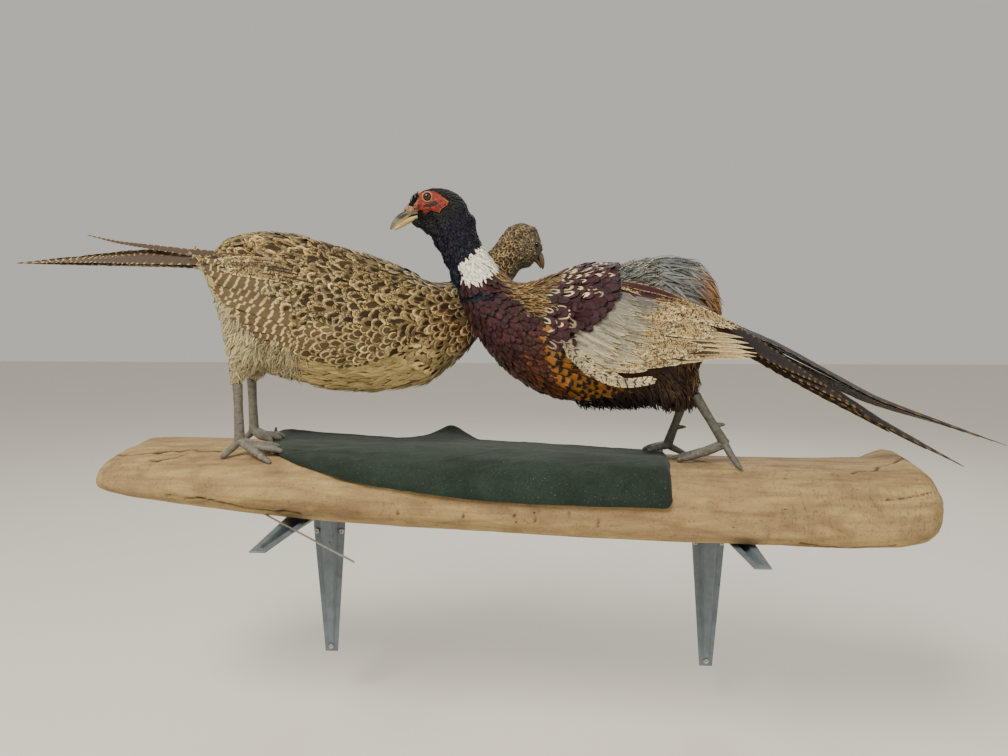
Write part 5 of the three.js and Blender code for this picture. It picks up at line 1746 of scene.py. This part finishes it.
def wood_finish(m):
    material, n, shader = finish_of("Driftwood", Specular_IOR_Level=0.22)
    wear = n.new("ShaderNodeSeparateColor", Color=n.attribute("wear").outputs["Color"]).outputs
    wood, pale, crack = tuple(m.wood), tuple(m.pale_wood), tuple(m.crack)
    grain = n.noise(n.stretched(n.place(), (12, 210, 210)), 1.0, 6.0, 0.62, 0.5)
    streak = n.noise(n.stretched(n.place(), (9, 34, 34)), 1.0, 6.0, 0.68, 0.8)
    blotch = n.noise(n.place(), 30.0, 6.0, 0.72)
    speck = n.noise(n.place(), 380.0, 5.0, 0.7)
    shade = n.mix(n.step(streak, 0.36, 0.66), wood, pale)
    shade = n.mix(n.times(n.step(blotch, 0.46, 0.62), 0.4), shade, toned(m.wood, 0.62))
    shade = n.mix(n.times(n.step(grain, 0.5, 0.3), 0.22), shade, crack)
    shade = n.mix(n.times(n.step(speck, 0.54, 0.70), 0.55), shade, crack)
    checks = n.math("ABSOLUTE", n.minus(n.noise(n.stretched(n.place(), (90, 30, 22)), 1.0, 3.0), 0.5))
    checked = n.step(n.noise(n.place(), 9.0, 2.0), 0.5, 0.62)
    checks = n.times(n.step(checks, 0.012, 0.004), checked)
    shade = n.mix(n.times(checks, 0.3), shade, crack)
    pits = n.step(n.noise(n.stretched(n.place(), (60, 190, 190)), 1.0, 2.0), 0.73, 0.77)
    shade = n.mix(n.times(pits, 0.7), shade, crack)
    # The carved grooves and cracks are painted darker, which is painted shade in the hollows.
    shade = n.mix(n.times(wear[1], 0.25), shade, crack)
    shade = n.mix(wear[2], shade, toned(m.crack, 0.35))
    height = n.plus(n.times(grain, 0.8), n.times(speck, 0.4))
    height = n.minus(height, n.plus(checks, pits))
    bump = n.new("ShaderNodeBump", Height=height, Strength=0.5, Distance=0.0010)
    n.feed(shader, Base_Color=shade, Roughness=n.step(grain, 0.2, 0.8, 0.92, 0.7), Normal=bump.outputs[0])
    return material


class PHEASANT_OT_cloth(ScriptedOperator):
    """Drapes the green cloth over the slab"""

    bl_idname = "pheasant.cloth"
    bl_label = "Cloth"

    def execute(self, context):
        m = look("mount_look")
        solid = Surface(copy_of("cloth_form", "cloth").data)
        bpy.data.objects.remove(bpy.data.objects["cloth_form"])
        low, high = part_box("cloth")
        columns, rows = 190, 84
        hub = Vector((0, -0.1, -0.012))
        turns = np.radians(np.linspace(-80, 200, 900))
        grid = []
        for x in np.linspace(low[0] + 0.8 * MM, high[0] - 0.8 * MM, columns):
            line = []
            for turn in turns:
                way = Vector((0, -math.cos(turn), math.sin(turn)))
                start = Vector((x, hub.y, hub.z)) + way * 0.4
                hit = solid.tree.ray_cast(start, -way)
                if hit[0] is not None and (hit[0] - start).length < 0.4:
                    line.append(hit[0])
            line = np.array(line)
            run = np.concatenate([[0], np.cumsum(np.linalg.norm(np.diff(line, axis=0), axis=1))])
            want = np.linspace(1.2 * MM, run[-1] - 1.2 * MM, rows)
            grid.append(np.stack([np.interp(want, run, line[:, axis]) for axis in range(3)], 1))
        grid = np.array(grid)
        for _ in range(6):
            grid[1:-1] = (grid[:-2] + 2 * grid[1:-1] + grid[2:]) / 4
            grid[:, 1:-1] = (grid[:, :-2] + 2 * grid[:, 1:-1] + grid[:, 2:]) / 4
        points = grid.reshape(-1, 3)
        index = np.arange(columns * rows).reshape(columns, rows)
        quads = np.stack([index[:-1, :-1], index[:-1, 1:], index[1:, 1:], index[1:, :-1]], -1).reshape(-1, 4)
        mesh = quad_mesh("green_cloth", points, quads)
        if normals_of(mesh)[:, 2].mean() < 0:
            mesh.flip_normals()
        cloth = linked("green_cloth", mesh)
        normals = normals_of(mesh)
        fold = field(points, (16, 26, 26), 4) + 0.5 * field(points, (40, 60, 60), 8)
        crease = 1 - np.clip(np.abs(field(points, (11, 34, 34), 15)) / 0.07, 0, 1)
        across = np.tile(np.linspace(0, 1, rows), columns)
        down = np.repeat(np.linspace(0, 1, columns), rows)
        seam = np.exp(-(((1 - down) * CLOTH_LENGTH - 11) / 2.0) ** 2)
        hump = np.interp(points[:, 0] / MM, (-153, -125, -98, -83, -68, -58), (0, 3.5, 7, 6, 2, 0))
        hump *= np.clip((points[:, 1] / MM + 62) / 45, 0, 1)
        move_points(mesh, points + normals * ((fold * 1.0 + crease * 0.7 - 0.7 - seam * 0.9) * MM)[:, None]
                    - np.outer(hump * MM, DOWN))
        hem = np.minimum.reduce([across * CLOTH_WIDTH, (1 - across) * CLOTH_WIDTH, (1 - down) * CLOTH_LENGTH])
        paint(mesh, "hem", np.stack([np.clip(hem / 8, 0, 1), np.clip(fold + 0.5, 0, 1), seam], 1))
        thicken(cloth, m.cloth_thickness)
        smooth(cloth.data, 60)
        place(cloth, "green_cloth", cloth_finish(m), "cloth")
        return {"FINISHED"}


def cloth_finish(m):
    material, n, shader = finish_of(
        "Green cloth", Roughness=0.95, Specular_IOR_Level=0.1, Sheen_Weight=0.1, Sheen_Roughness=0.5)
    hem = n.new("ShaderNodeSeparateColor", Color=n.attribute("hem").outputs["Color"]).outputs
    warp = n.noise(n.stretched(n.place(), (1500, 260, 260)), 1.0, 2.0)
    weft = n.noise(n.stretched(n.place(), (260, 1500, 1500)), 1.0, 2.0)
    weave = n.plus(n.times(warp, 0.5), n.times(weft, 0.5))
    patchy = n.noise(n.place(), 22.0, 5.0)
    shade = n.mix(n.step(patchy, 0.35, 0.65), toned(m.cloth, 0.78), toned(m.cloth, 1.25))
    shade = n.mix(n.times(n.step(weave, 0.55, 0.4), 0.45), shade, toned(m.cloth, 0.35))
    lint = n.step(n.noise(n.stretched(n.place(), (700, 900, 900), (0.4, 0.3, 0.5)), 1.0, 2.0, 0.5, 0.6), 0.70, 0.74)
    shade = n.mix(n.times(lint, 0.7), shade, tuple(m.lint))
    shade = n.mix(n.times(n.minus(1.0, hem[0]), 0.4), shade, toned(m.cloth, 0.4))
    shade = n.mix(n.times(hem[2], 0.7), shade, toned(m.cloth, 0.25))
    bump = n.new("ShaderNodeBump", Height=weave, Strength=0.5, Distance=0.0008)
    n.feed(shader, Base_Color=shade, Normal=bump.outputs[0])
    return material


class PHEASANT_OT_brackets(ScriptedOperator):
    """Rounds the pressed brackets and paints them"""

    bl_idname = "pheasant.brackets"
    bl_label = "Brackets"

    def execute(self, context):
        for name in ("bracket_left", "bracket_right"):
            bracket = copy_of(f"{name}_steel", name)
            bevel(bracket, 0.5 * MM, 35)
            smooth(bracket.data, 40)
            place(bracket, "bracket_enamel", enamel_finish(), name)
        return {"FINISHED"}


@once
def enamel_finish():
    m = look("mount_look")
    material, n, shader = finish_of("Enamel", Specular_IOR_Level=0.5)
    wear = n.noise(n.place(), 60.0, 6.0, 0.6)
    chips = n.step(n.noise(n.place(), 190.0, 5.0, 0.6), 0.66, 0.70)
    peel = n.noise(n.place(), 800.0, 2.0)
    shade = n.mix(n.step(wear, 0.35, 0.65), toned(m.enamel, 0.85), toned(m.enamel, 1.12))
    shade = n.mix(n.times(chips, 0.8), shade, toned(m.enamel, 0.25))
    bump = n.new("ShaderNodeBump", Height=n.minus(peel, chips), Strength=0.25, Distance=0.0004)
    n.feed(shader, Base_Color=shade, Roughness=n.step(wear, 0.2, 0.8, 0.34, 0.5), Normal=bump.outputs[0])
    return material


@once
def metal_finish(name, rough):
    m = look("mount_look")
    material, n, shader = finish_of(name, Metallic=0.9)
    wear = n.noise(n.place(), 500.0, 5.0)
    shade = n.mix(n.step(wear, 0.4, 0.7), tuple(m.steel), toned(m.steel, 0.55))
    n.feed(shader, Base_Color=shade, Roughness=n.step(wear, 0.2, 0.8, rough, rough + 0.2))
    return material


class PHEASANT_OT_metalwork(ScriptedOperator):
    """Finishes the screws and the wire"""

    bl_idname = "pheasant.metalwork"
    bl_label = "Screws and wire"

    def execute(self, context):
        bpy.ops.mesh.primitive_cylinder_add(vertices=36, radius=3.5 * MM, depth=2.0 * MM)
        model = context.object
        bpy.ops.object.mode_set(mode="EDIT")
        bpy.ops.mesh.select_mode(type="FACE")
        bpy.ops.mesh.select_all(action="DESELECT")
        bpy.ops.object.mode_set(mode="OBJECT")
        for face in model.data.polygons:
            face.select = face.normal.z > 0.9
        bpy.ops.object.mode_set(mode="EDIT")
        bpy.ops.mesh.inset(thickness=0.9 * MM)
        bpy.ops.transform.translate(value=(0, 0, 0.35 * MM))
        bpy.ops.mesh.inset(thickness=1.0 * MM)
        bpy.ops.mesh.extrude_region_move(TRANSFORM_OT_translate={"value": (0, 0, -1.1 * MM)})
        bpy.ops.transform.resize(value=(0.35, 0.35, 1))
        bpy.ops.object.mode_set(mode="OBJECT")
        bevel(model, 0.2 * MM, 30)
        for name in sorted(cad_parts):
            if "screw" not in name:
                continue
            low, high = (Vector(corner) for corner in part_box(name))
            middle = (low + high) / 2
            flat = "y" if high.y - low.y < high.z - low.z else "z"
            out = Vector((0, -1, 0)) if flat == "y" else Vector((0, 0, -1))
            screw = linked(f"{name}_head", model.data.copy())
            turn = out.to_track_quat("Z", "Y").to_matrix().to_4x4()
            screw.data.transform(Matrix.Translation(middle) @ turn)
            smooth(screw.data, 40)
            place(screw, "screw_zinc", metal_finish("Zinc", 0.3), name)
        bpy.data.objects.remove(model)
        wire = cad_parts["mount_wire"]
        wire.data.materials.clear()
        wire.data.materials.append(metal_finish("Wire", 0.35))
        return {"FINISHED"}


STEPS = (
    PHEASANT_OT_stage, PHEASANT_OT_cock_skin, PHEASANT_OT_cock_wings, PHEASANT_OT_cock_coat, PHEASANT_OT_cock_face,
    PHEASANT_OT_hen_skin, PHEASANT_OT_hen_coat, PHEASANT_OT_hen_wings, PHEASANT_OT_tails, PHEASANT_OT_bills,
    PHEASANT_OT_feet, PHEASANT_OT_slab, PHEASANT_OT_cloth, PHEASANT_OT_brackets, PHEASANT_OT_metalwork)


class PHEASANT_PT_steps(bpy.types.Panel):
    """Lists the steps in the order in which they are run."""

    bl_idname = "PHEASANT_PT_steps"
    bl_label = "Pheasants"
    bl_space_type = "VIEW_3D"
    bl_region_type = "UI"
    bl_category = "Pheasants"

    def draw(self, context):
        for step in STEPS:
            self.layout.operator(step.bl_idname, text=step.bl_label)
        for name in GROUPS:
            group = look(name)
            for key in group.__annotations__:
                self.layout.prop(group, key)


def register():
    for group in GROUPS.values():
        bpy.utils.register_class(group)
    for name, group in GROUPS.items():
        setattr(bpy.types.Scene, name, bpy.props.PointerProperty(type=group))
    for step in (*STEPS, PHEASANT_PT_steps):
        bpy.utils.register_class(step)


def unregister():
    for step in (PHEASANT_PT_steps, *reversed(STEPS)):
        bpy.utils.unregister_class(step)
    for name, group in reversed(GROUPS.items()):
        delattr(bpy.types.Scene, name)
        bpy.utils.unregister_class(group)


def main():
    register()
    for step in STEPS:
        family, name = step.bl_idname.split(".")
        getattr(getattr(bpy.ops, family), name)()


if __name__ == "__main__":
    main()
